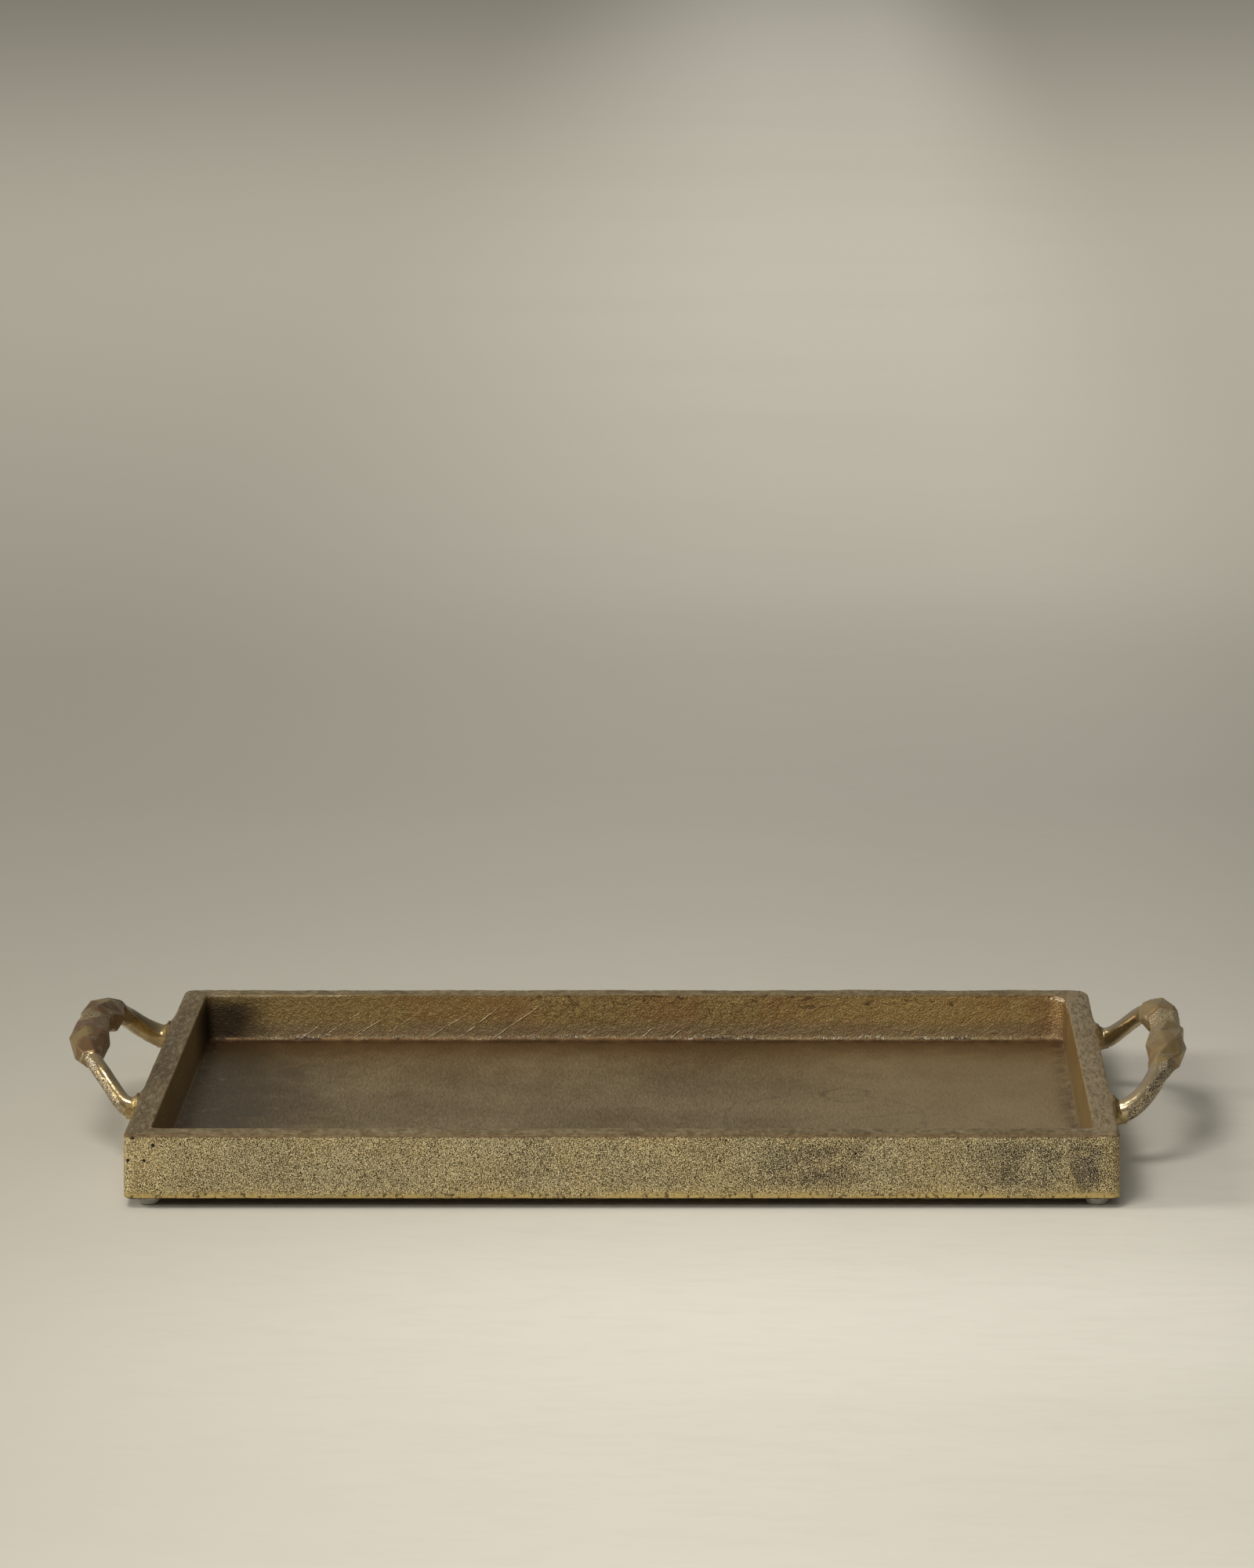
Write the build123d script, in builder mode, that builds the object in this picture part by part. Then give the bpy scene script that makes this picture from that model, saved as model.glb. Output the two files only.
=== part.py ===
from build123d import *
import math
import os

os.makedirs("parts", exist_ok=True)

# A shallow rectangular serving tray: one heavy sand casting in brass, two twig-shaped cast
# handles brazed to its end walls, and four clear bumper feet stuck under its corners.
# Millimetres.  The origin is the middle of the footprint, on the table; +X runs along the
# tray towards the right-hand handle, -Y is the front and +Z is up.

# ---------------------------------------------------------------------------------------
# Driving dimensions: the tray casting
# ---------------------------------------------------------------------------------------
rim_length = 508.0              # outside of the rim, without the handles
rim_width = 305.0               # outside of the rim, front to back
casting_height = 34.0           # base of the casting to the ground rim
rim_wall = 11.5                 # wall thickness, measured on the rim
outer_draft = 4.0               # degrees, the outside widens towards the base
inner_draft = 3.0               # degrees, the hollow narrows towards its floor
hollow_depth = 26.5             # rim to tray floor
outer_corner_radius = 4.0
inner_corner_radius = 5.0
floor_fillet = 3.0              # round where the floor meets the walls
rim_edge_round = 0.9            # softened edges of the ground rim
base_edge_round = 0.8
relief_depth = 3.5              # cored underside, which leaves a thinner floor plate
relief_corner_radius = 8.0
relief_fillet = 1.5
foot_land_margin = 6.0          # flat land left inboard of each foot

# ---------------------------------------------------------------------------------------
# Driving dimensions: feet and their adhesive discs
# ---------------------------------------------------------------------------------------
foot_diameter = 12.0
foot_height = 5.3
foot_edge_round = 3.0
foot_inset = 12.0               # foot centre to the base edges of the casting
adhesive_diameter = 10.8
adhesive_thickness = 0.2

# ---------------------------------------------------------------------------------------
# Driving dimensions: handle roots
# ---------------------------------------------------------------------------------------
straight_root_radius = 5.5      # barrel where the slim leg meets the wall
straight_root_run = -73.5       # along the end wall, from the tray's centre line
straight_root_drop = 8.8        # barrel centre below the rim
curved_root_radius = 6.0        # barrel where the thicker, curved leg meets the wall
curved_root_run = 79.0
curved_root_drop = 9.4
barrel_length = 4.0             # each leg leaves the wall square to it for this far
spigot_diameter = 7.0
spigot_length = 7.0
socket_radial_clearance = 0.05
socket_end_clearance = 0.2
braze_fillet_radius = 2.0       # concave run of filler metal round each barrel
braze_lip = 0.3                 # thickness at the two edges of that run

# Handle path stations: reach out from the rim, run along the end wall, rise above the rim,
# then the half width and the half height of the section there.
straight_leg_stations = [
    (11.0, -72.0, -6.6, 4.4, 4.9),
    (18.2, -63.6, 2.2, 3.9, 4.3),
    (25.8, -56.2, 10.7, 4.2, 4.5),
    (30.0, -48.5, 14.0, 4.4, 4.6),
]
curved_leg_stations = [
    (10.0, 79.0, -7.4, 5.2, 6.0),
    (16.0, 77.0, -3.4, 4.9, 5.3),
    (23.2, 70.5, 4.2, 5.2, 5.4),
    (27.7, 60.0, 10.3, 5.2, 5.4),
]
knot_stations = [
    (26.6, -55.2, 11.5, 5.0, 5.3),
    (29.5, -50.0, 13.6, 6.9, 5.9),
    (32.6, -38.0, 15.2, 9.1, 8.2),
    (34.2, -24.0, 17.4, 11.2, 10.1),
    (34.8, -10.0, 19.0, 9.9, 8.0),
    (35.8, 3.0, 18.8, 9.4, 6.5),
    (35.4, 18.0, 17.2, 10.2, 8.5),
    (34.6, 33.0, 15.2, 11.2, 9.6),
    (32.8, 45.0, 13.4, 9.3, 8.5),
    (27.7, 60.0, 10.3, 6.5, 6.8),
    (25.0, 66.8, 6.9, 5.8, 6.0),
]
knot_sides = 8                  # flat facets round the two swellings of the knot

# ---------------------------------------------------------------------------------------
# Derived sizes
# ---------------------------------------------------------------------------------------
base_z = foot_height + adhesive_thickness
rim_z = base_z + casting_height
floor_z = rim_z - hollow_depth
outer_slope = math.tan(math.radians(outer_draft))
inner_slope = math.tan(math.radians(inner_draft))
base_spread = casting_height * outer_slope
relief_border = foot_inset + foot_diameter / 2 + foot_land_margin
hollow_overrun = 2.0            # the core of the hollow stands this far above the rim


def outer_size(z):
    """Outside length and width of the casting at a height."""
    spread = (rim_z - z) * outer_slope
    return rim_length + 2 * spread, rim_width + 2 * spread


def hollow_size(z):
    """Length and width of the hollow at a height."""
    shrink = rim_wall + (rim_z - z) * inner_slope
    return rim_length - 2 * shrink, rim_width - 2 * shrink


def wall_plane(run, drop):
    """Plane on the drafted right-hand end wall, its normal pointing out of the casting."""
    lean = math.radians(outer_draft)
    outward = Vector(math.cos(lean), 0, math.sin(lean))
    return Plane(
        origin=(rim_length / 2 + drop * outer_slope, -run, rim_z - drop),
        x_dir=(0, 1, 0),
        z_dir=outward,
    )


def turned(plane):
    """The same plane on the opposite end of the tray, half a turn about the Z axis."""
    return Plane(
        origin=(-plane.origin.X, -plane.origin.Y, plane.origin.Z),
        x_dir=(-plane.x_dir.X, -plane.x_dir.Y, plane.x_dir.Z),
        z_dir=(-plane.z_dir.X, -plane.z_dir.Y, plane.z_dir.Z),
    )


def on_path(station):
    """Point of the right-hand handle's path at a station."""
    reach, run, rise = station[:3]
    return Vector(rim_length / 2 + reach, -run, rim_z + rise)


def section_planes(points):
    """Planes across a path, their X axes level, at all of its points but the first."""
    planes = []
    for index in range(1, len(points)):
        before = points[index - 1]
        after = points[min(index + 1, len(points) - 1)]
        along = (after - before).normalized()
        across = along.cross(Vector(0, 0, 1)).normalized()
        planes.append(Plane(origin=points[index], x_dir=across, z_dir=along))
    return planes


straight_root = wall_plane(straight_root_run, straight_root_drop)
curved_root = wall_plane(curved_root_run, curved_root_drop)

# ---------------------------------------------------------------------------------------
# Tray casting
# ---------------------------------------------------------------------------------------
with BuildPart() as hollow:
    for height in (floor_z, rim_z + hollow_overrun):
        with BuildSketch(Plane.XY.offset(height)):
            RectangleRounded(*hollow_size(height), inner_corner_radius)
    loft(ruled=True)
    fillet(hollow.faces().sort_by(Axis.Z)[0].edges(), floor_fillet)

with BuildPart() as tray_body:
    for height in (base_z, rim_z):
        with BuildSketch(Plane.XY.offset(height)):
            RectangleRounded(*outer_size(height), outer_corner_radius)
    loft(ruled=True)
    add(hollow.part, mode=Mode.SUBTRACT)
    fillet(tray_body.faces().sort_by(Axis.Z)[-1].edges(), rim_edge_round)
    fillet(tray_body.faces().sort_by(Axis.Z)[0].edges(), base_edge_round)

    # cored underside between the lands that carry the feet
    base_length, base_width = outer_size(base_z)
    with BuildSketch(Plane.XY.offset(base_z)):
        RectangleRounded(
            base_length - 2 * relief_border,
            base_width - 2 * relief_border,
            relief_corner_radius,
        )
    extrude(amount=relief_depth, mode=Mode.SUBTRACT)
    relief_ceiling = tray_body.faces().filter_by(Axis.Z).sort_by(Axis.Z)[1]
    fillet(relief_ceiling.edges(), relief_fillet)

    # blind sockets for the handle spigots
    for root in (straight_root, curved_root):
        with Locations(root, turned(root)):
            Hole(
                radius=spigot_diameter / 2 + socket_radial_clearance,
                depth=spigot_length + socket_end_clearance,
            )

# ---------------------------------------------------------------------------------------
# Handles: two legs on round barrels, joined by a faceted knot
# ---------------------------------------------------------------------------------------
straight_legs = (straight_root, straight_root_radius, straight_leg_stations)
curved_legs = (curved_root, curved_root_radius, curved_leg_stations)

with BuildPart() as handle_right:
    for root, barrel_radius, stations in (straight_legs, curved_legs):
        with BuildSketch(root):
            Circle(spigot_diameter / 2)
        extrude(amount=-spigot_length)
        with BuildSketch(root):
            Circle(barrel_radius)
        extrude(amount=barrel_length)

        barrel_end = root.offset(barrel_length)
        leg_points = [barrel_end.origin] + [on_path(station) for station in stations]
        with BuildSketch(barrel_end):
            Circle(barrel_radius)
        for plane, station in zip(section_planes(leg_points), stations):
            with BuildSketch(plane):
                Ellipse(station[3], station[4])
        loft()

    knot_points = [on_path(station) for station in knot_stations]
    knot_planes = section_planes([knot_points[0] * 2 - knot_points[1]] + knot_points)
    for plane, station in zip(knot_planes, knot_stations):
        half_width, half_height = station[3:]
        corners = []
        for side in range(knot_sides):
            angle = 2 * math.pi * (side + 0.5) / knot_sides
            corners.append((half_width * math.cos(angle), half_height * math.sin(angle)))
        with BuildSketch(plane):
            Polygon(*corners, align=None)
    loft(ruled=True)

with BuildPart() as handle_left:
    add(handle_right.part.rotate(Axis.Z, 180))

# ---------------------------------------------------------------------------------------
# Writing the pieces
# ---------------------------------------------------------------------------------------
for piece, name in (
    (tray_body, "tray_body"),
    (handle_right, "handle_right"),
    (handle_left, "handle_left"),
):
    piece.part.label = name
    export_step(piece.part, f"parts/{name}.step")

# Braze metal: a concave ring round each barrel, face to face with the wall and the barrel
braze_places = {
    "braze_right_rear": (straight_root, straight_root_radius),
    "braze_right_front": (curved_root, curved_root_radius),
    "braze_left_front": (turned(straight_root), straight_root_radius),
    "braze_left_rear": (turned(curved_root), curved_root_radius),
}
for name, (root, barrel_radius) in braze_places.items():
    profile_plane = Plane(
        origin=root.origin,
        x_dir=root.x_dir,
        z_dir=root.x_dir.cross(root.z_dir),
    )
    ring_radius = barrel_radius + braze_lip + braze_fillet_radius
    ring_height = braze_lip + braze_fillet_radius
    with BuildPart() as braze:
        with BuildSketch(profile_plane):
            with BuildLine():
                Polyline((barrel_radius + braze_lip, ring_height), (barrel_radius, ring_height),
                         (barrel_radius, 0), (ring_radius, 0), (ring_radius, braze_lip))
                ThreePointArc(
                    (ring_radius, braze_lip),
                    (ring_radius - braze_fillet_radius * math.sqrt(0.5),
                     ring_height - braze_fillet_radius * math.sqrt(0.5)),
                    (barrel_radius + braze_lip, ring_height),
                )
            make_face()
        revolve(axis=Axis(root.origin, root.z_dir))
    braze.part.label = name
    export_step(braze.part, f"parts/{name}.step")

# Bumper feet and the adhesive discs that hold them to the base
foot_x = base_length / 2 - foot_inset
foot_y = base_width / 2 - foot_inset
foot_places = {
    "front_left": (-foot_x, -foot_y),
    "front_right": (foot_x, -foot_y),
    "rear_left": (-foot_x, foot_y),
    "rear_right": (foot_x, foot_y),
}
for corner, place in foot_places.items():
    with BuildPart() as foot:
        with BuildSketch():
            with Locations(place):
                Circle(foot_diameter / 2)
        extrude(amount=foot_height)
        fillet(foot.faces().sort_by(Axis.Z)[0].edges(), foot_edge_round)
    foot.part.label = f"foot_{corner}"
    export_step(foot.part, f"parts/foot_{corner}.step")

    with BuildPart() as adhesive:
        with BuildSketch(Plane.XY.offset(foot_height)):
            with Locations(place):
                Circle(adhesive_diameter / 2)
        extrude(amount=adhesive_thickness)
    adhesive.part.label = f"adhesive_{corner}"
    export_step(adhesive.part, f"parts/adhesive_{corner}.step")
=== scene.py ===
"""Visual model of a sand-cast brass serving tray with two twig handles and clear bumper feet.

Everything is in metres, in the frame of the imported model: the origin is the middle of the
footprint on the table, +X runs to the right-hand handle, -Y is the front and +Z is up.
"""

import logging
import math
from dataclasses import dataclass, field
from enum import Enum
from typing import Callable, Iterable, Optional, Sequence

import bmesh
import bpy
import numpy as np
from mathutils import Matrix, Vector


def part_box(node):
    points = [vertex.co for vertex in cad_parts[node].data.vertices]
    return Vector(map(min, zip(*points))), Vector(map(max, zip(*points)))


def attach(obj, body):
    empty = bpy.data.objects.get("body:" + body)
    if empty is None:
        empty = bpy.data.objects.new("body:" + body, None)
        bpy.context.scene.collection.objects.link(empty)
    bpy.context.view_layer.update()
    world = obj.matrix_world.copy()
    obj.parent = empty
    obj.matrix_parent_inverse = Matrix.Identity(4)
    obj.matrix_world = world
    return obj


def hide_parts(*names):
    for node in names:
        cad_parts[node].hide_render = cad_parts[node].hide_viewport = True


LOG = logging.getLogger("brass_tray")
MM = 0.001
ASKEW = (0.62, 0.47, 0.81)  # turn of every pattern, in radians, so that no face lies along its grid

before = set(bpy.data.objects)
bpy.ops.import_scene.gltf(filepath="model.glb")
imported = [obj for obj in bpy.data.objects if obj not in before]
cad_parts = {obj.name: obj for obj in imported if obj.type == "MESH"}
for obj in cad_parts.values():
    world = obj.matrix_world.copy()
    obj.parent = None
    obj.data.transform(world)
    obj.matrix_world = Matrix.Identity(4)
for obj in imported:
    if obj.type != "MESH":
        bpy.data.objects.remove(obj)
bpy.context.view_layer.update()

Socket = bpy.types.NodeSocket


# ---------------------------------------------------------------------------------------
# Choices
# ---------------------------------------------------------------------------------------
class End(Enum):
    """The two ends of the tray; the value is the sign of X there."""

    RIGHT = 1
    LEFT = -1


class Zone(Enum):
    """Surfaces of the casting that were finished differently, in material order."""

    OUTSIDE = 0
    RIM = 1
    INNER_WALL = 2
    FLOOR = 3
    UNDERSIDE = 4


# ---------------------------------------------------------------------------------------
# Bench work: short helpers round the modelling operators
# ---------------------------------------------------------------------------------------
def tone(code: str) -> tuple[float, float, float, float]:
    """Linear colour of a display colour.

    Args:
        code: six hexadecimal digits after a hash.

    Returns:
        Linear red, green, blue and an alpha of one.
    """
    channels = [int(code[place:place + 2], 16) / 255 for place in (1, 3, 5)]
    linear = [c / 12.92 if c <= 0.04045 else ((c + 0.055) / 1.055) ** 2.4 for c in channels]
    return (linear[0], linear[1], linear[2], 1.0)


def put_down_all() -> None:
    """Leave edit mode and deselect every object."""
    if bpy.context.object is not None and bpy.context.object.mode != "OBJECT":
        bpy.ops.object.mode_set(mode="OBJECT")
    bpy.ops.object.select_all(action="DESELECT")


def edit(piece: bpy.types.Object) -> None:
    """Select one piece alone and go into edit mode on it.

    Args:
        piece: the mesh object.
    """
    put_down_all()
    piece.select_set(True)
    bpy.context.view_layer.objects.active = piece
    bpy.ops.object.mode_set(mode="EDIT")


def pick_vertices(piece: bpy.types.Object, wanted: Callable[[Vector, int], bool]) -> None:
    """Select in edit mode the vertices that pass a test.

    Args:
        piece: the mesh object being edited.
        wanted: called with a vertex's place and its index.
    """
    bpy.ops.mesh.select_all(action="DESELECT")
    bpy.ops.mesh.select_mode(type="VERT")
    work = bmesh.from_edit_mesh(piece.data)
    for vertex in work.verts:
        vertex.select = wanted(vertex.co, vertex.index)
    work.select_flush(True)
    bmesh.update_edit_mesh(piece.data)


def pick_edges(piece: bpy.types.Object, wanted: Callable[[Vector, Vector], bool]) -> None:
    """Select in edit mode the edges whose two end points pass a test.

    Args:
        piece: the mesh object being edited.
        wanted: called with an edge's two end points.
    """
    bpy.ops.mesh.select_all(action="DESELECT")
    bpy.ops.mesh.select_mode(type="EDGE")
    work = bmesh.from_edit_mesh(piece.data)
    for edge in work.edges:
        edge.select = wanted(edge.verts[0].co, edge.verts[1].co)
    bmesh.update_edit_mesh(piece.data)


def add_ring(centre: Vector, basis: Matrix, half_width: float, half_height: float, sides: int) -> None:
    """Add an oval ring of vertices to the mesh being edited.

    Args:
        centre: the ring's middle.
        basis: its axes as columns, the last one along the run.
        half_width: its radius along the first axis.
        half_height: its radius along the second axis.
        sides: number of vertices.
    """
    bpy.ops.mesh.select_all(action="DESELECT")
    bpy.ops.mesh.primitive_circle_add(
        vertices=sides, radius=MM, fill_type="NOTHING", location=centre, rotation=basis.to_euler())
    bpy.ops.transform.resize(
        value=(half_width / MM, half_height / MM, 1), orient_type="GLOBAL",
        orient_matrix=basis, orient_matrix_type="GLOBAL", center_override=centre)


def join_rings(piece: bpy.types.Object, count: int, sides: int) -> None:
    """Bridge rings of the mesh being edited one to the next, and close both ends.

    Args:
        piece: the mesh object, holding only the rings, in order.
        count: how many rings there are.
        sides: vertices in each.
    """
    for index in range(count - 1):
        first = index * sides
        pick_vertices(piece, lambda co, k: first <= k < first + 2 * sides)
        bpy.ops.mesh.bridge_edge_loops()
    for ring in (0, count - 1):
        first = ring * sides
        pick_vertices(piece, lambda co, k: first <= k < first + sides)
        bpy.ops.mesh.edge_face_add()


def weigh(piece: bpy.types.Object, name: str, weights: np.ndarray) -> None:
    """Store a weight for each vertex as a vertex group.

    Args:
        piece: the mesh object.
        name: the group's name.
        weights: one value from 0 to 1 for each vertex.
    """
    group = piece.vertex_groups.new(name=name)
    steps = np.round(np.clip(weights, 0, 1), 2)
    for step in np.unique(steps):
        if step > 0:
            group.add(np.nonzero(steps == step)[0].tolist(), float(step), "REPLACE")


def roughen(
    piece: bpy.types.Object,
    grain: float,
    depth: float,
    group: str = "",
    direction: str = "NORMAL",
    ridged: bool = False,
    level: float = 0.5,
) -> None:
    """Push a surface in and out by a cloud pattern and apply it.

    Args:
        piece: the mesh object.
        grain: size of the lumps.
        depth: height from the lowest to the highest place.
        group: vertex group that limits it, or nothing for all of the piece.
        direction: axis of the push, as the Displace modifier names it.
        ridged: whether the pattern is sharp-edged instead of soft.
        level: pattern value that stays in place; higher values sink the surface.
    """
    pattern = bpy.data.textures.new(f"{piece.name}_grain", "CLOUDS")
    pattern.noise_scale = grain
    pattern.noise_depth = 2
    pattern.noise_type = "HARD_NOISE" if ridged else "SOFT_NOISE"
    push = piece.modifiers.new("roughen", "DISPLACE")
    push.texture = pattern
    push.texture_coords = "LOCAL"
    push.direction = direction
    push.strength = depth
    push.mid_level = level
    push.vertex_group = group
    apply_modifiers(piece)


def bulge(piece: bpy.types.Object, group: str, reach: float) -> None:
    """Push a weighted part of a piece along X.

    Args:
        piece: the mesh object.
        group: vertex group that says how far each vertex follows.
        reach: the whole push, negative towards -X.
    """
    push = piece.modifiers.new("bulge", "DISPLACE")
    push.direction = "X"
    push.strength = reach
    push.mid_level = 0.0
    push.vertex_group = group
    apply_modifiers(piece)


def apply_modifiers(piece: bpy.types.Object) -> None:
    """Apply every modifier of a piece, in order.

    Args:
        piece: the mesh object.
    """
    put_down_all()
    piece.select_set(True)
    bpy.context.view_layer.objects.active = piece
    for modifier in list(piece.modifiers):
        bpy.ops.object.modifier_apply(modifier=modifier.name)


def vertex_places(piece: bpy.types.Object) -> np.ndarray:
    """Every vertex's place.

    Args:
        piece: the mesh object.

    Returns:
        One row of X, Y and Z for each vertex.
    """
    flat = np.zeros(len(piece.data.vertices) * 3)
    piece.data.vertices.foreach_get("co", flat)
    return flat.reshape(-1, 3)


def smooth(piece: bpy.types.Object, angle: float = 180.0) -> None:
    """Shade a piece smooth.

    Args:
        piece: the mesh object.
        angle: edges sharper than this stay sharp, in degrees.
    """
    put_down_all()
    piece.select_set(True)
    bpy.context.view_layer.objects.active = piece
    bpy.ops.object.shade_smooth_by_angle(angle=math.radians(angle))


def hand_over(
    piece: bpy.types.Object,
    replaced: Iterable[str] = (),
) -> None:
    """Fix a finished piece to the tray's one body and report it.

    Args:
        piece: the finished object.
        replaced: CAD nodes that it stands for.
    """
    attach(piece, "root")
    names = list(replaced)
    if names:
        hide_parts(*names)
    LOG.info("%s: %d faces, replaces %s", piece.name, len(piece.data.polygons), names)


# ---------------------------------------------------------------------------------------
# Finishes
# ---------------------------------------------------------------------------------------
class Recipe:
    """A material's node tree, written as short calls."""

    def __init__(self, name: str) -> None:
        """Start an empty material with one surface shader and object coordinates."""
        self.material = bpy.data.materials.new(name)
        self.material.use_nodes = True
        self.tree = self.material.node_tree
        self.tree.nodes.clear()
        output = self.tree.nodes.new("ShaderNodeOutputMaterial")
        self.shader = self.tree.nodes.new("ShaderNodeBsdfPrincipled")
        self.tree.links.new(self.shader.outputs["BSDF"], output.inputs["Surface"])
        self.place = self.tree.nodes.new("ShaderNodeTexCoord").outputs["Object"]
        self.skewed = self.stretch((1.0, 1.0, 1.0))

    def feed(self, target: Socket, value: object) -> None:
        """Link a socket into another, or set a value on it.

        Args:
            target: the input to fill.
            value: a socket, a number, a colour code, or None to leave the input as it is.
        """
        if isinstance(value, bpy.types.NodeSocket):
            self.tree.links.new(value, target)
        elif isinstance(value, str):
            target.default_value = tone(value)
        elif value is not None:
            target.default_value = value

    def surface(self, **values: object) -> None:
        """Feed the shader's inputs.

        Args:
            **values: what each input gets, with the spaces in its name as underscores.
        """
        for name, value in values.items():
            self.feed(self.shader.inputs[name.replace("_", " ")], value)

    def math(self, operation: str, first: object, second: object = None) -> Socket:
        """One arithmetic step.

        Args:
            operation: the Math node's name for it.
            first: socket or number.
            second: socket or number, if the operation takes two.

        Returns:
            The result.
        """
        node = self.tree.nodes.new("ShaderNodeMath")
        node.operation = operation
        self.feed(node.inputs[0], first)
        self.feed(node.inputs[1], second)
        return node.outputs[0]

    def times(self, first: object, second: object) -> Socket:
        """Product of two values."""
        return self.math("MULTIPLY", first, second)

    def plus(self, first: object, second: object) -> Socket:
        """Sum of two values."""
        return self.math("ADD", first, second)

    def minus(self, first: object, second: object) -> Socket:
        """First value less the second."""
        return self.math("SUBTRACT", first, second)

    def over(self, first: object, second: object) -> Socket:
        """First value divided by the second."""
        return self.math("DIVIDE", first, second)

    def larger(self, first: object, second: object) -> Socket:
        """Larger of two values."""
        return self.math("MAXIMUM", first, second)

    def smaller(self, first: object, second: object) -> Socket:
        """Smaller of two values."""
        return self.math("MINIMUM", first, second)

    def unsigned(self, value: object) -> Socket:
        """Value without its sign."""
        return self.math("ABSOLUTE", value)

    def length(self, first: Socket, second: Socket) -> Socket:
        """Length of a vector with two components."""
        return self.math("SQRT", self.plus(self.times(first, first), self.times(second, second)))

    def stretch(self, scale: Sequence[float], lean: Sequence[float] = (0, 0, 0)) -> Socket:
        """Object coordinates leant over, scaled along each axis, then set askew.

        Args:
            scale: factor along each axis; less than one draws a pattern out.
            lean: turn about each axis, in radians, before the scaling.

        Returns:
            The new coordinates, askew so that no flat face lies along a pattern's own grid.
        """
        source = self.place
        if any(lean):
            tilt = self.tree.nodes.new("ShaderNodeMapping")
            self.feed(tilt.inputs["Vector"], source)
            tilt.inputs["Rotation"].default_value = lean
            source = tilt.outputs[0]
        node = self.tree.nodes.new("ShaderNodeMapping")
        self.feed(node.inputs["Vector"], source)
        node.inputs["Scale"].default_value = scale
        node.inputs["Rotation"].default_value = ASKEW
        return node.outputs[0]

    def axis(self, name: str, vector: Optional[Socket] = None) -> Socket:
        """One component of a vector.

        Args:
            name: X, Y or Z.
            vector: the vector, or None for the object coordinates.

        Returns:
            The component.
        """
        node = self.tree.nodes.new("ShaderNodeSeparateXYZ")
        self.feed(node.inputs[0], vector or self.place)
        return node.outputs[name]

    def bend(self) -> Socket:
        """How convex the surface is: a half where flat, more along outer edges."""
        return self.tree.nodes.new("ShaderNodeNewGeometry").outputs["Pointiness"]

    def stored(self, name: str) -> Socket:
        """A value stored on the piece's vertices.

        Args:
            name: the attribute's name.

        Returns:
            The value.
        """
        node = self.tree.nodes.new("ShaderNodeAttribute")
        node.attribute_name = name
        return node.outputs["Fac"]

    def noise(
        self,
        size: float,
        detail: float = 2.0,
        roughness: float = 0.5,
        distortion: float = 0.0,
        vector: Optional[Socket] = None,
    ) -> Socket:
        """Cloudy pattern.

        Args:
            size: size of its lumps.
            detail: octaves of finer lumps.
            roughness: how strong the finer lumps are.
            distortion: how far the pattern is warped.
            vector: its coordinates, or None for the skewed ones.

        Returns:
            The pattern, from 0 to 1.
        """
        node = self.tree.nodes.new("ShaderNodeTexNoise")
        self.feed(node.inputs["Vector"], vector or self.skewed)
        node.inputs["Scale"].default_value = 1.0 / size
        node.inputs["Detail"].default_value = detail
        node.inputs["Roughness"].default_value = roughness
        node.inputs["Distortion"].default_value = distortion
        return node.outputs[0]

    def cells(self, size: float) -> Socket:
        """Scattered points.

        Args:
            size: their spacing.

        Returns:
            Distance to the nearest point, in spacings.
        """
        node = self.tree.nodes.new("ShaderNodeTexVoronoi")
        self.feed(node.inputs["Vector"], self.skewed)
        node.inputs["Scale"].default_value = 1.0 / size
        node.inputs["Randomness"].default_value = 1.0
        return node.outputs["Distance"]

    def span(
        self, value: object, low: float, high: float, start: float = 0.0, end: float = 1.0,
    ) -> Socket:
        """Smooth step of a value.

        Args:
            value: the value.
            low: where the step begins; above high if the step runs downwards.
            high: where it is done.
            start: what it gives at low.
            end: what it gives at high.

        Returns:
            The step.
        """
        node = self.tree.nodes.new("ShaderNodeMapRange")
        node.interpolation_type = "SMOOTHSTEP"
        self.feed(node.inputs["Value"], value)
        node.inputs["From Min"].default_value = low
        node.inputs["From Max"].default_value = high
        node.inputs["To Min"].default_value = start
        node.inputs["To Max"].default_value = end
        return node.outputs[0]

    def mix(self, factor: object, first: object, second: object) -> Socket:
        """Blend of two colours.

        Args:
            factor: 0 for the first, 1 for the second.
            first: socket or colour code.
            second: socket or colour code.

        Returns:
            The blend.
        """
        node = self.tree.nodes.new("ShaderNodeMix")
        node.data_type = "RGBA"
        self.feed(node.inputs[0], factor)
        self.feed(node.inputs[6], first)
        self.feed(node.inputs[7], second)
        return node.outputs[2]

    def lay(self, under: Socket, shade: str, mask: object, strength: float = 1.0) -> Socket:
        """Lay one colour over the ones so far.

        Args:
            under: the colours so far.
            shade: code of the new colour.
            mask: where it goes.
            strength: how much it covers where the mask is full.

        Returns:
            The result.
        """
        if strength != 1.0:
            mask = self.times(mask, strength)
        return self.mix(mask, under, shade)

    def blend(self, factor: object, first: object, second: object) -> Socket:
        """Blend of two numbers.

        Args:
            factor: 0 for the first, 1 for the second.
            first: socket or number.
            second: socket or number.

        Returns:
            The blend.
        """
        node = self.tree.nodes.new("ShaderNodeMix")
        self.feed(node.inputs[0], factor)
        self.feed(node.inputs[2], first)
        self.feed(node.inputs[3], second)
        return node.outputs[0]

    def bump(self, height: Socket, depth: float, onto: Optional[Socket] = None) -> Socket:
        """Relief of the surface.

        Args:
            height: the pattern.
            depth: its height from 0 to 1, in metres.
            onto: an earlier relief that this one is laid over.

        Returns:
            The bent normal.
        """
        node = self.tree.nodes.new("ShaderNodeBump")
        node.inputs["Strength"].default_value = 1.0
        node.inputs["Distance"].default_value = depth
        self.feed(node.inputs["Height"], height)
        if onto is not None:
            self.feed(node.inputs["Normal"], onto)
        return node.outputs[0]


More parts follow.
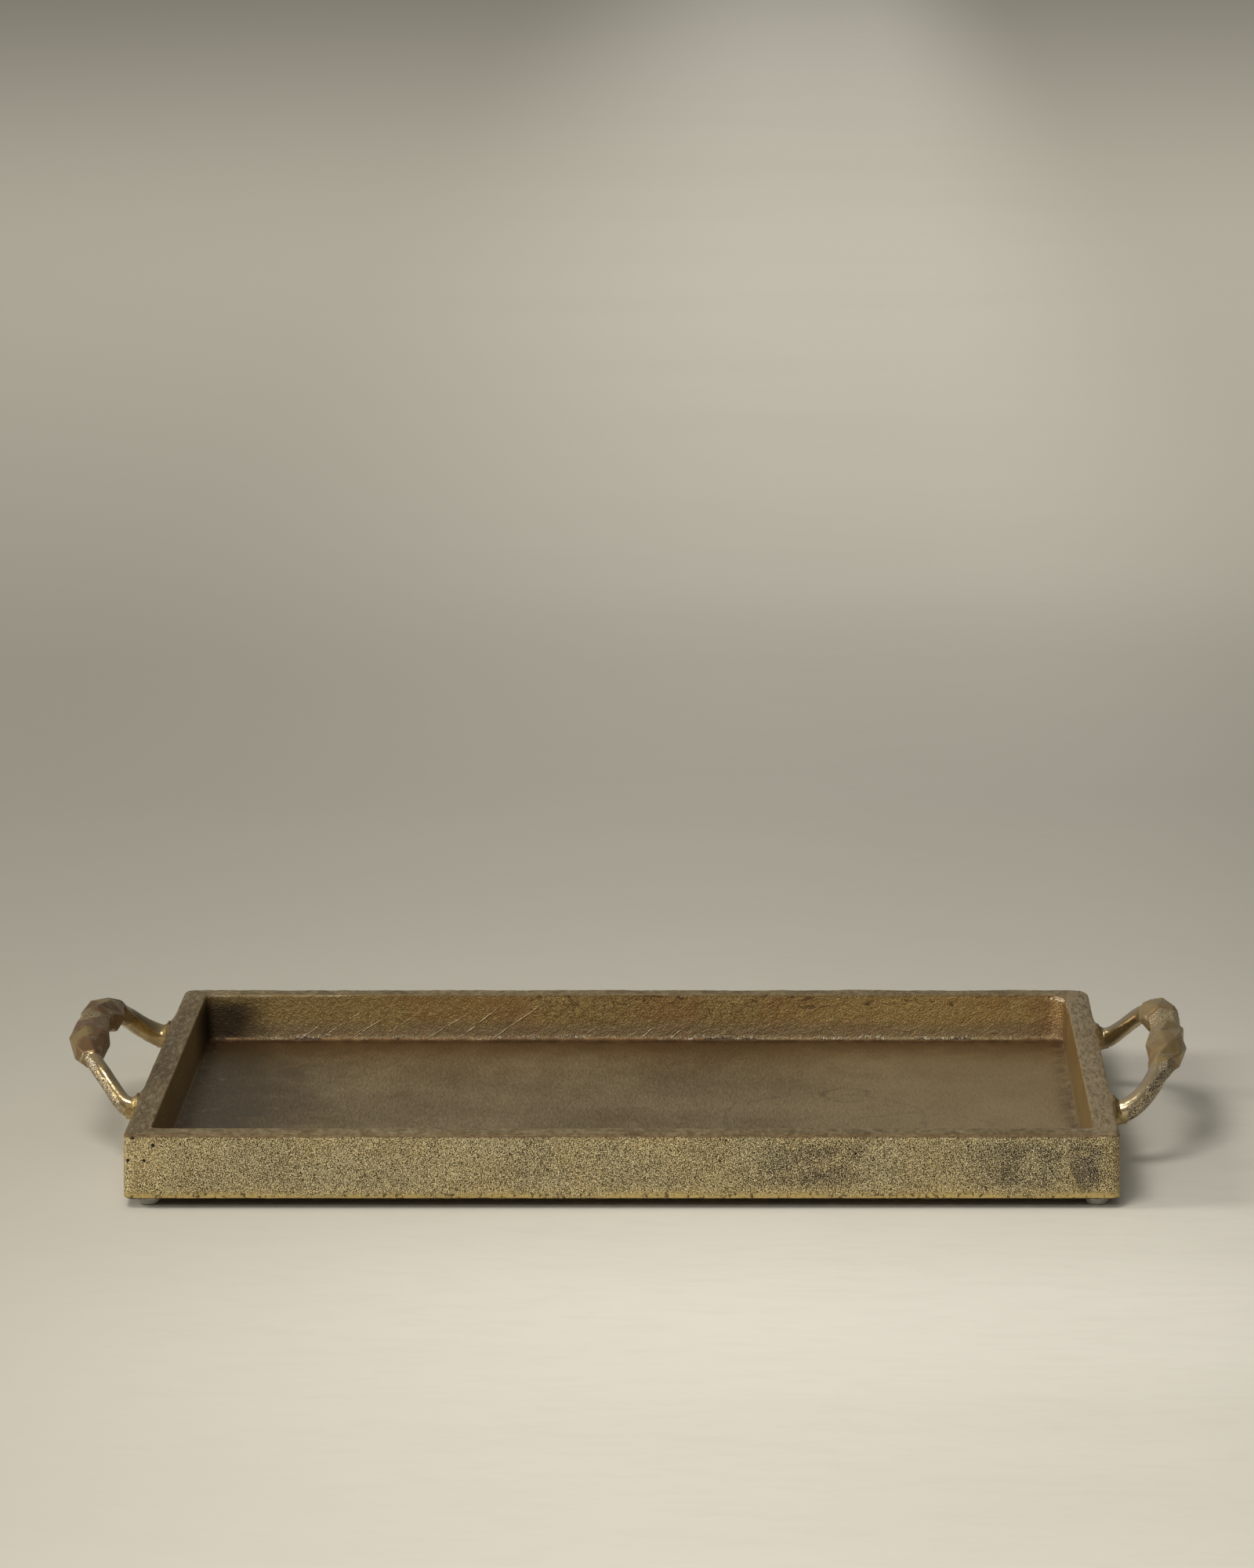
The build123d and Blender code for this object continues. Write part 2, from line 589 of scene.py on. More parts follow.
@dataclass(frozen=True)
class BlowHole:
    """A gas hole in the front face: inset from its left end, height and size, in millimetres."""

    inset: float
    height: float
    size: float


@dataclass(frozen=True)
class SmokyPatch:
    """A smoky patch of the long walls: its middle along X, half its length and its strength."""

    middle: float
    spread: float
    strength: float


@dataclass(frozen=True)
class RingStain:
    """A ring left on the floor: its middle, its radius and its strength."""

    x: float
    y: float
    radius: float
    strength: float


@dataclass(frozen=True)
class ScoreMark:
    """A raised line of the rear wall: place along X, lower and upper end, lean and strength."""

    start: float
    first: float
    reach: float
    slope: float
    strength: float


@dataclass(frozen=True)
class SandCastBrass:
    """Outside of the walls: sand-cast grain, gilded on its high spots and dark in its pits."""

    name: str = "sand_cast_brass"
    base_z: float = 5.5 * MM
    rim_z: float = 39.5 * MM
    half_length: float = 256.0 * MM
    grain: float = 0.45 * MM
    grain_depth: float = 0.74 * MM
    gold: str = "#B9A166"
    bright_gold: str = "#C8AE6C"
    khaki: str = "#AC9B69"
    smoke: str = "#80725A"
    pit: str = "#231608"
    crest: str = "#F2E3BA"
    worn: str = "#CDB36F"
    chip: str = "#4A3428"
    hole: str = "#1C120A"
    scorched: str = "#5A3E22"
    fold_shade: str = "#4C4234"
    holes: tuple[BlowHole, ...] = (
        BlowHole(6.1, 32.4, 1.3),
        BlowHole(16.4, 28.3, 1.2),
        BlowHole(3.4, 20.3, 1.1),
        BlowHole(11.8, 20.3, 1.0),
    )
    smoky: tuple[SmokyPatch, ...] = (
        SmokyPatch(0.098, 0.038, 0.9),
        SmokyPatch(0.205, 0.032, 0.9),
        SmokyPatch(0.239, 0.012, 1.3),
    )

    def blow_holes(self, r: Recipe) -> Socket:
        """Gas holes: a few near the front left corner, and rare small ones elsewhere.

        Args:
            r: the material being built.

        Returns:
            Their mask.
        """
        ragged = r.times(r.noise(1.2 * MM, detail=2.0), 1.1 * MM)
        mask = r.span(r.cells(21 * MM), 0.022, 0.042, 1.0, 0.0)
        for one in self.holes:
            off_x = r.minus(r.axis("X"), one.inset * MM - self.half_length)
            off_z = r.minus(r.axis("Z"), self.base_z + one.height * MM)
            far = r.length(off_x, off_z)
            far = r.plus(far, r.minus(ragged, 0.65 * MM))
            mask = r.larger(mask, r.span(far, 0.5 * one.size * MM, 0.95 * one.size * MM, 1.0, 0.0))
        return mask

    def fold_scar(self, r: Recipe) -> tuple[Socket, Socket]:
        """The fold cast into the front face near its right end.

        Args:
            r: the material being built.

        Returns:
            Masks of its raised edge and of the hollow beside it.
        """
        on_front = r.span(r.axis("Y"), -0.13, -0.145)
        rise = r.minus(r.axis("Z"), self.base_z)
        sway = r.times(r.noise(5 * MM, detail=3.0), 7.0 * MM)
        lean = r.plus(r.times(rise, 0.45), r.minus(r.axis("X"), sway))
        off = r.minus(lean, self.half_length - 24.1 * MM)
        length = r.times(r.span(rise, 2.5 * MM, 5.0 * MM), r.span(rise, 21 * MM, 15 * MM))
        length = r.times(length, on_front)
        ridge = r.times(r.span(r.unsigned(off), 0.3 * MM, 1.7 * MM, 1.0, 0.0), length)
        across = r.unsigned(r.minus(off, 4.2 * MM))
        hollow = r.times(r.span(across, 1.0 * MM, 3.6 * MM, 1.0, 0.0), length)
        return ridge, hollow

    def smoke_patches(self, r: Recipe) -> Socket:
        """Greyer, smokier patches.

        Args:
            r: the material being built.

        Returns:
            Their mask.
        """
        along = r.axis("X")
        height = r.over(r.minus(r.axis("Z"), self.base_z), 34 * MM)
        haze = r.noise(13 * MM, detail=3.0, roughness=0.6, distortion=0.5)
        drift = r.noise(55 * MM, detail=3.0, roughness=0.6)
        mask = r.times(r.span(drift, 0.46, 0.62), 0.25)
        for one in self.smoky:
            away = r.unsigned(r.minus(along, one.middle))
            away = r.plus(away, r.times(r.minus(haze, 0.5), one.spread))
            patch = r.times(r.span(away, one.spread * 0.3, one.spread, 1.0, 0.0), one.strength)
            mask = r.larger(mask, patch)
        fade = r.times(r.span(height, 0.08, 0.3), r.span(height, 0.98, 0.72))
        return r.times(r.times(mask, fade), r.span(haze, 0.30, 0.55))

    def paint(self) -> bpy.types.Material:
        """Build the material.

        Returns:
            The finished material.
        """
        r = Recipe(self.name)
        height = r.axis("Z")
        fine = r.noise(self.grain, detail=1.5, roughness=0.55)
        coarse = r.noise(self.grain * 4.2, detail=2.0, roughness=0.5)
        patch = r.noise(24 * MM, detail=3.0, roughness=0.6)
        smoke = self.smoke_patches(r)
        relief = r.blend(0.04, fine, coarse)
        deeper = r.plus(r.span(patch, 0.3, 0.7, -0.008, 0.008), r.times(smoke, 0.035))
        level = r.minus(relief, deeper)

        drift = r.noise(38 * MM, detail=2.5, roughness=0.55)
        body = r.mix(r.span(drift, 0.38, 0.6), self.gold, self.khaki)
        at_left = r.span(r.axis("X"), -self.half_length + 50 * MM, -self.half_length + 5 * MM)
        body = r.lay(body, self.bright_gold, at_left, 0.8)
        body = r.lay(body, self.smoke, smoke, 0.65)
        warm = r.span(
            r.plus(height, r.times(patch, 6.0 * MM)), self.base_z + 13 * MM, self.base_z + 3 * MM
        )
        body = r.lay(body, self.worn, warm, 0.6)
        colour = r.mix(r.span(level, 0.444, 0.494), self.pit, body)
        colour = r.lay(colour, self.crest, r.span(level, 0.53, 0.59, 0.0, 0.88))

        ragged = r.noise(6 * MM, detail=4.0, roughness=0.7)
        long_wave = r.noise(48 * MM, detail=1.0)
        line = r.minus(height, r.times(long_wave, 4.2 * MM))
        line = r.minus(line, r.times(ragged, 2.0 * MM))
        worn = r.span(line, self.base_z + 1.2 * MM, self.base_z - 2.4 * MM)
        worn = r.times(worn, r.span(long_wave, 0.35, 0.55, 0.35, 1.0))
        colour = r.lay(colour, self.worn, worn, 0.75)
        chips = r.times(
            r.span(r.noise(2.4 * MM, detail=3.0, roughness=0.65), 0.56, 0.63),
            r.span(height, self.base_z + 4.5 * MM, self.base_z + 1.8 * MM),
        )
        colour = r.lay(colour, self.chip, chips, 0.8)

        holes = self.blow_holes(r)
        colour = r.lay(colour, self.hole, holes)
        scorch = r.span(
            r.plus(height, r.times(ragged, 1.6 * MM)), self.rim_z - 1.3 * MM, self.rim_z - 0.1 * MM
        )
        colour = r.lay(colour, self.scorched, scorch, 0.85)
        ridge, hollow = self.fold_scar(r)
        colour = r.lay(colour, self.worn, ridge, 0.28)
        colour = r.lay(colour, self.fold_shade, hollow, 0.38)

        flatter = r.span(worn, 0.0, 1.0, 1.0, 0.35)
        body_relief = r.times(level, flatter)
        body_relief = r.minus(body_relief, r.larger(holes, chips))
        swell = r.plus(r.noise(5 * MM, detail=3.0), r.times(ridge, 2.6))
        swell = r.minus(swell, r.times(hollow, 1.6))
        fold = r.bump(swell, 0.22 * MM)
        r.surface(
            Base_Color=colour,
            Metallic=r.blend(r.larger(r.span(level, 0.5, 0.38), scorch), 0.66, 0.30),
            Roughness=r.blend(r.larger(r.span(level, 0.55, 0.38), scorch), 0.45, 0.72),
            Normal=r.bump(body_relief, self.grain_depth, fold),
        )
        return r.material


@dataclass(frozen=True)
class GroundRimBrass:
    """Top of the rim: ground flat on a belt, then browned, with the casting's pits left in it."""

    name: str = "ground_rim_brass"
    half_length: float = 254.0 * MM
    half_width: float = 152.5 * MM
    wall: float = 11.5 * MM
    light: str = "#AB966A"
    dark: str = "#8C774E"
    stain: str = "#5C4830"
    rose: str = "#8E7455"
    pit: str = "#2C1C14"
    edge: str = "#B89C62"
    ashen: str = "#BCA684"
    fleck: str = "#CDBB92"
    scorched: str = "#5A3E22"

    def paint(self) -> bpy.types.Material:
        """Build the material.

        Returns:
            The finished material.
        """
        r = Recipe(self.name)
        across_x = r.minus(self.half_length, r.unsigned(r.axis("X")))
        across_y = r.minus(self.half_width, r.unsigned(r.axis("Y")))
        from_edge = r.smaller(across_x, across_y)
        clouds = r.noise(22 * MM, detail=3.0, roughness=0.6)
        speck = r.noise(0.8 * MM, detail=3.0, roughness=0.65)
        long_side = r.noise(1.0 * MM, detail=2.5, roughness=0.6, vector=r.stretch((0.12, 1.0, 1.0)))
        short_side = r.noise(1.0 * MM, detail=2.5, roughness=0.6, vector=r.stretch((1.0, 0.20, 1.0)))
        at_ends = r.span(r.minus(across_x, across_y), 0.5 * MM, -0.5 * MM)
        brush = r.blend(at_ends, long_side, short_side)
        colour = r.mix(r.span(clouds, 0.32, 0.68), self.light, self.dark)
        right = r.span(r.axis("X"), 0.225, 0.245)
        colour = r.lay(colour, self.ashen, right, 0.55)
        left = r.span(r.axis("X"), -0.235, -0.250)
        colour = r.lay(colour, self.stain, left, 0.5)
        colour = r.lay(colour, self.stain, r.span(brush, 0.48, 0.68, 0.0, 0.75))
        colour = r.lay(colour, self.fleck, r.span(speck, 0.46, 0.34, 0.0, 0.4))
        patch = r.noise(8 * MM, detail=4.0, roughness=0.65, distortion=0.8)
        colour = r.lay(colour, self.rose, r.span(patch, 0.54, 0.70, 0.0, 0.6))
        long_mottle = r.noise(2.4 * MM, detail=4.0, roughness=0.65, vector=r.stretch((0.7, 0.4, 1.0)))
        short_mottle = r.noise(2.4 * MM, detail=4.0, roughness=0.65, vector=r.stretch((1.0, 0.25, 1.0)))
        mottle = r.blend(at_ends, long_mottle, short_mottle)
        colour = r.lay(colour, self.stain, r.span(mottle, 0.50, 0.64, 0.0, 0.42))
        colour = r.lay(colour, self.fleck, r.span(mottle, 0.48, 0.36, 0.0, 0.36))
        pits = r.times(r.span(speck, 0.58, 0.66), r.span(mottle, 0.46, 0.60))
        colour = r.lay(colour, self.pit, pits, 0.7)
        uneven = r.times(patch, 1.6 * MM)
        outer = r.span(r.plus(from_edge, uneven), 1.5 * MM, 0.9 * MM)
        inner = r.span(r.minus(from_edge, uneven), self.wall - 1.9 * MM, self.wall - 1.1 * MM)
        front_edge = r.span(r.axis("Y"), -0.14, -0.148, 0.4, 0.0)
        edge = r.times(
            r.larger(r.times(outer, front_edge), inner), r.span(clouds, 0.40, 0.62, 0.0, 0.55)
        )
        colour = r.lay(colour, self.edge, edge)
        # painted shade along the rear inner lip
        rear_lip = r.times(inner, r.span(r.axis("Y"), 0.12, 0.135))
        colour = r.lay(colour, self.stain, rear_lip, 0.6)
        burnt = r.times(outer, r.span(r.axis("Y"), -0.14, -0.148))
        colour = r.lay(colour, self.scorched, burnt, 0.6)
        relief = r.minus(r.plus(r.times(brush, 0.5), r.times(speck, 0.6)), pits)
        roll = r.bump(r.noise(9 * MM, detail=2.0), 0.25 * MM)
        r.surface(
            Base_Color=colour,
            Metallic=r.blend(r.larger(burnt, rear_lip), 0.72, 0.4),
            Roughness=r.blend(r.larger(burnt, rear_lip), r.span(mottle, 0.3, 0.7, 0.40, 0.56), 0.75),
            Normal=r.bump(relief, 0.20 * MM, roll),
        )
        return r.material


@dataclass(frozen=True)
class SatinFloorBrass:
    """Floor of the tray: satin, brushed front to back; darker towards the left end and the rear, stained
    and with a painted reflection of the walls; grime and painted shade along the walls.
    """

    name: str = "satin_floor_brass"
    light: str = "#A8946C"
    dark: str = "#917D57"
    stain_and_reflection: str = "#5C503C"
    rust_and_reflection: str = "#6A4C2A"
    stain: str = "#564030"
    dust: str = "#BDB398"
    rubbed: str = "#C6B38A"
    bright: str = "#BEA87C"
    grime_and_shade: str = "#3C2A1E"
    rings: tuple[RingStain, ...] = (
        RingStain(0.117, 0.022, 0.013, 0.55),
        RingStain(0.105, -0.03, 0.055, 0.3),
        RingStain(0.155, -0.06, 0.045, 0.25),
    )

    def stains(self, r: Recipe) -> Socket:
        """Faint rings and blots left by things that stood on the floor.

        Args:
            r: the material being built.

        Returns:
            Their mask.
        """
        along = r.axis("X")
        across = r.axis("Y")
        wander = r.times(r.noise(16 * MM, detail=3.0), 12 * MM)
        mask = None
        for one in self.rings:
            off_x = r.minus(along, one.x)
            off_y = r.minus(across, one.y)
            far = r.length(off_x, off_y)
            far = r.minus(r.plus(far, wander), one.radius + 6 * MM)
            ring = r.times(r.span(r.unsigned(far), 0.4 * MM, 2.4 * MM, 1.0, 0.0), one.strength)
            mask = ring if mask is None else r.larger(mask, ring)
        return r.times(mask, r.span(r.noise(7 * MM, detail=3.0), 0.35, 0.6))

    def paint(self) -> bpy.types.Material:
        """Build the material.

        Returns:
            The finished material.
        """
        r = Recipe(self.name)
        along = r.axis("X")
        across = r.axis("Y")
        grit = r.noise(0.7 * MM, detail=2.5, roughness=0.6)
        strokes = r.noise(0.9 * MM, detail=3.0, roughness=0.6, vector=r.stretch((1.0, 0.16, 1.0)))
        sweep = r.noise(16 * MM, detail=4.0, roughness=0.6, vector=r.stretch((1.0, 0.35, 1.0)))
        drift = r.noise(80 * MM, detail=3.0, roughness=0.6)
        fleck = r.noise(2.2 * MM, detail=4.0, roughness=0.7, vector=r.stretch((1.0, 0.4, 1.0)))
        ragged = r.noise(15 * MM, detail=4.0, roughness=0.65)

        colour = r.mix(r.span(drift, 0.35, 0.65), self.light, self.dark)
        colour = r.lay(colour, self.rust_and_reflection, r.span(sweep, 0.45, 0.70, 0.0, 0.26))
        colour = r.lay(colour, self.stain, r.span(grit, 0.48, 0.64, 0.0, 0.42))
        colour = r.lay(colour, self.stain, r.span(strokes, 0.46, 0.66, 0.0, 0.45))
        colour = r.lay(colour, self.rubbed, r.span(strokes, 0.44, 0.32, 0.0, 0.35))
        spots = r.times(r.span(fleck, 0.60, 0.70), r.span(sweep, 0.45, 0.62))
        colour = r.lay(colour, self.stain, spots, 0.5)

        colour = r.lay(colour, self.bright, r.span(along, 0.03, 0.2, 0.0, 0.35))
        # darker towards the left end: stains and a painted reflection of the dark left wall
        left = r.plus(along, r.times(ragged, -0.10))
        at_left = r.span(left, -0.19, -0.27)
        colour = r.lay(colour, self.stain_and_reflection, at_left, 0.8)
        # darker and redder towards the rear: painted reflection of the brown rear wall
        back = r.plus(across, r.times(ragged, 0.03))
        rear_reflection = r.span(back, 0.10, 0.15)
        colour = r.lay(colour, self.rust_and_reflection, rear_reflection, 0.8)
        colour = r.lay(colour, self.stain, self.stains(r), 0.9)

        hair = r.noise(
            0.8 * MM, detail=2.0, distortion=0.6, vector=r.stretch((0.35, 0.12, 1.0), (0, 0, 0.6))
        )
        scuffs = r.times(r.span(hair, 0.62, 0.70), r.span(along, -0.205, -0.228))
        colour = r.lay(colour, self.dust, scuffs, 0.3)

        # darker along the foot of the walls: grime and painted shade
        walls = r.larger(
            r.span(r.unsigned(along), 0.228, 0.240), r.span(r.unsigned(across), 0.128, 0.139)
        )
        grime_and_shade = r.times(walls, r.span(r.noise(7 * MM, detail=4.0), 0.3, 0.65))
        colour = r.lay(colour, self.grime_and_shade, grime_and_shade, 0.6)

        relief = r.blend(0.45, grit, r.blend(0.5, strokes, fleck))
        roll = r.bump(r.noise(28 * MM, detail=2.0), 0.5 * MM)
        r.surface(
            Base_Color=colour,
            Metallic=0.74,
            Roughness=r.blend(r.span(strokes, 0.3, 0.7), 0.40, 0.52),
            Normal=r.bump(relief, 0.28 * MM, roll),
        )
        return r.material


@dataclass(frozen=True)
class InnerWallBrass:
    """Inside of the walls: grainy and brown, scored and folded on the rear wall; painted highlights on its
    folds, scores, lip and foot, painted shade in its corners and joints.
    """

    name: str = "inner_wall_brass"
    floor_z: float = 13 * MM
    rim_z: float = 39.5 * MM
    body: str = "#A08955"
    deep: str = "#8A7244"
    red: str = "#8A6138"
    ash: str = "#84745C"
    # bright: colour of the painted highlights on the rear wall's folds, score marks and lip
    bright: str = "#E2D6B8"
    # olive: colour of the painted shade under the rear lip and on the left inner wall
    olive: str = "#5A4A2A"
    painted_shade: str = "#33271A"
    dark_grain: str = "#57432A"
    light_grain: str = "#C9B078"
    honey: str = "#B0945C"
    foot_highlight: str = "#CFC2AC"
    crack: str = "#4A2C1C"
    amber: str = "#93733F"
    rosy: str = "#7E5E46"
    painted_glint: str = "#F6E4C6"
    scores: tuple[ScoreMark, ...] = (
        ScoreMark(-190, 1, 9, 1.4, 0.45),
        ScoreMark(-179, 4, 11, 1.5, 0.35),
        ScoreMark(-182, 13, 18, 1.7, 0.4),
        ScoreMark(-161, 1, 13, 1.5, 1.0),
        ScoreMark(-146, 6, 18, 1.55, 0.35),
        ScoreMark(-119, 1, 16, 1.6, 0.75),
        ScoreMark(-101, 3, 23, 1.3, 0.85),
        ScoreMark(-82, 1, 21, 1.45, 0.9),
        ScoreMark(-33, 1, 9, 1.5, 0.4),
        ScoreMark(2, 1, 8, 1.1, 0.8),
        ScoreMark(19, 2, 9, 1.2, 0.6),
        ScoreMark(116, 3, 9, -0.8, 0.6),
    )

    def score_marks(self, r: Recipe) -> Socket:
        """Raised lines that lean to the right on the left part of the rear wall.

        Args:
            r: the material being built.

        Returns:
            Their mask.
        """
        along = r.axis("X")
        height = r.axis("Z")
        mask = None
        for one in self.scores:
            wobble = r.times(r.noise(9 * MM, detail=2.0), 1.6 * MM)
            rise = r.minus(height, self.floor_z)
            off = r.minus(along, r.plus(r.times(rise, one.slope), one.start * MM))
            line = r.span(r.unsigned(r.plus(off, wobble)), 0.2 * MM, 0.9 * MM, 1.0, 0.0)
            line = r.times(line, r.span(rise, one.reach * MM, one.reach * 0.7 * MM))
            line = r.times(line, r.span(rise, (one.first - 1.5) * MM, one.first * MM))
            line = r.times(line, one.strength)
            mask = line if mask is None else r.larger(mask, line)
        broken = r.span(r.noise(3.5 * MM, detail=3.0), 0.36, 0.56, 0.12, 1.0)
        return r.times(r.times(mask, broken), r.span(r.axis("Y"), 0.10, 0.12))

    def paint(self) -> bpy.types.Material:
        """Build the material.

        Returns:
            The finished material.
        """
        r = Recipe(self.name)
        along = r.axis("X")
        height = r.axis("Z")
        at_rear = r.span(r.axis("Y"), 0.10, 0.12)
        at_right = r.span(along, 0.222, 0.238)
        grit = r.noise(0.8 * MM, detail=2.5, roughness=0.6)
        lumps = r.noise(2.0 * MM, detail=3.0, roughness=0.6, distortion=0.3)
        drift = r.noise(36 * MM, detail=3.0)
        lean = r.stretch((0.45, 1.0, 1.0), (0, 0.5, 0))
        folds = r.noise(4.0 * MM, detail=3.0, roughness=0.55, distortion=0.5, vector=lean)
        rightward = r.span(along, -0.10, 0.0)
        busy = r.times(r.plus(r.times(rightward, 0.07), 0.03), at_rear)
        crease = r.span(r.unsigned(r.minus(folds, 0.5)), 0.0, 0.018, 1.0, 0.0)
        crease = r.times(crease, busy)

        colour = r.mix(r.span(lumps, 0.36, 0.64), self.deep, self.body)
        coarse = r.span(along, -0.16, 0.05, 0.45, 0.85)
        colour = r.lay(colour, self.dark_grain, r.times(r.span(grit, 0.50, 0.38), coarse))
        colour = r.lay(colour, self.light_grain, r.times(r.span(grit, 0.55, 0.65, 0.0, 0.4), coarse))
        colour = r.lay(colour, self.honey, r.span(along, 0.02, 0.16, 0.0, 0.35))
        colour = r.lay(colour, self.red, r.span(drift, 0.46, 0.66, 0.0, 0.4))
        low = r.minus(height, r.times(drift, 9 * MM))
        low = r.span(low, self.floor_z + 9 * MM, self.floor_z + 1 * MM)
        colour = r.lay(colour, self.ash, low, 0.55)
        # painted highlight on the fold creases and on the raised score marks
        colour = r.lay(colour, self.bright, crease, 0.35)
        score = self.score_marks(r)
        colour = r.lay(colour, self.bright, score, 0.5)

        wave = r.times(r.span(r.noise(24 * MM, detail=2.0), 0.40, 0.60), 5.0 * MM)
        edge = r.noise(2.2 * MM, detail=4.0, roughness=0.65)
        ragged = r.minus(height, r.times(edge, wave))
        # painted highlight along the ragged foot of the rear wall
        foot = r.times(r.span(ragged, self.floor_z + 1.4 * MM, self.floor_z), at_rear)
        foot = r.times(foot, r.span(r.noise(1.6 * MM, detail=3.0), 0.44, 0.62))
        foot = r.times(foot, r.span(along, -0.225, -0.18))
        colour = r.lay(colour, self.foot_highlight, foot, 0.62)
        # painted shade in the joint where the rear wall meets the floor
        under = r.span(ragged, self.floor_z - 0.4 * MM, self.floor_z - 1.2 * MM)
        colour = r.lay(colour, self.painted_shade, r.times(under, at_rear), 0.8)
        # painted highlight along the top lip of the rear wall
        lip = r.times(r.span(height, self.rim_z - 2.0 * MM, self.rim_z - 0.8 * MM), at_rear)
        lip = r.times(lip, r.span(r.noise(18 * MM, detail=3.0), 0.38, 0.58))
        lip = r.times(lip, r.span(along, -0.13, -0.19, 0.12, 0.7))
        colour = r.lay(colour, self.bright, lip, 0.7)
        shade = r.times(r.span(height, self.rim_z - 1.8 * MM, self.rim_z - 0.9 * MM), at_rear)
        shade = r.times(shade, r.span(along, -0.19, -0.10))
        colour = r.lay(colour, self.olive, shade, 0.6)
        crack = r.noise(
            3.6 * MM, detail=4.0, roughness=0.65, distortion=0.6, vector=r.stretch((0.4, 1.0, 1.0))
        )
        high_up = r.span(height, self.rim_z - 11 * MM, self.rim_z - 6 * MM)
        crack = r.times(r.span(crack, 0.58, 0.66), r.times(high_up, at_rear))
        crack = r.times(crack, r.span(along, -0.12, 0.02))
        colour = r.lay(colour, self.crack, crack, 0.7)
        colour = r.lay(colour, self.amber, at_right, 0.30)
        rosy = r.times(r.span(r.plus(along, r.times(drift, 0.02)), 0.226, 0.242), at_rear)
        colour = r.lay(colour, self.rosy, r.times(rosy, r.span(lumps, 0.42, 0.6, 0.1, 0.6)))
        # painted glint: a small near-white highlight just under the rim at the rear right corner
        painted_glint = r.times(
            r.span(along, 0.2305, 0.2335), r.span(height, self.rim_z - 3.6 * MM, self.rim_z - 2.8 * MM)
        )
        painted_glint = r.times(painted_glint, r.span(height, self.rim_z - 0.8 * MM, self.rim_z - 1.6 * MM))
        painted_glint = r.times(r.times(painted_glint, at_rear), r.span(lumps, 0.40, 0.50))
        colour = r.lay(colour, self.painted_glint, painted_glint, 0.85)
        # painted shade in the rear left corner
        corner = r.plus(along, r.times(drift, 0.03))
        corner = r.times(r.span(corner, -0.185, -0.216), r.span(r.axis("Y"), 0.06, 0.125))
        corner = r.times(corner, r.span(height, self.rim_z - 1 * MM, self.rim_z - 9 * MM, 0.35, 1.0))
        colour = r.lay(colour, self.painted_shade, corner, 0.93)
        # painted shade: the left inner wall, facing away from the light, a little darker
        left_wall = r.span(along, -0.225, -0.236)
        colour = r.lay(colour, self.olive, left_wall, 0.08)

        relief = r.plus(r.times(grit, 0.75), r.times(lumps, 0.70))
        relief = r.plus(relief, r.times(score, 0.9))
        step_up = r.times(r.span(folds, 0.44, 0.56), busy)
        relief = r.plus(relief, r.plus(step_up, r.times(foot, 0.4)))
        relief = r.minus(relief, r.times(crack, 0.8))
        rough = r.blend(r.span(grit, 0.3, 0.7), 0.56, 0.42)
        r.surface(
            Base_Color=colour,
            Metallic=0.68,
            Roughness=r.blend(at_right, rough, 0.36),
            Normal=r.bump(relief, 0.7 * MM),
        )
        return r.material


@dataclass(frozen=True)
class UndersideBrass:
    """Underside: as cast, dark and evenly grained, rubbed a little on the lands."""

    name: str = "underside_brass"
    dark: str = "#453620"
    light: str = "#8A7548"
    middle: str = "#6B5834"
    grimy: str = "#3A3226"

    def paint(self) -> bpy.types.Material:
        """Build the material.

        Returns:
            The finished material.
        """
        r = Recipe(self.name)
        grit = r.noise(1.5 * MM, detail=3.0, roughness=0.65)
        drift = r.noise(40 * MM, detail=4.0, roughness=0.6)
        rubbed = r.span(r.axis("Z"), 6.5 * MM, 5.6 * MM)
        colour = r.mix(r.span(grit, 0.38, 0.62), self.dark, self.middle)
        colour = r.lay(colour, self.grimy, r.span(drift, 0.45, 0.7, 0.0, 0.6))
        colour = r.lay(colour, self.light, r.times(rubbed, r.span(grit, 0.4, 0.6)))
        r.surface(
            Base_Color=colour,
            Metallic=0.65,
            Roughness=r.span(grit, 0.3, 0.7, 0.7, 0.5),
            Normal=r.bump(r.blend(0.4, grit, drift), 0.5 * MM),
        )
        return r.material


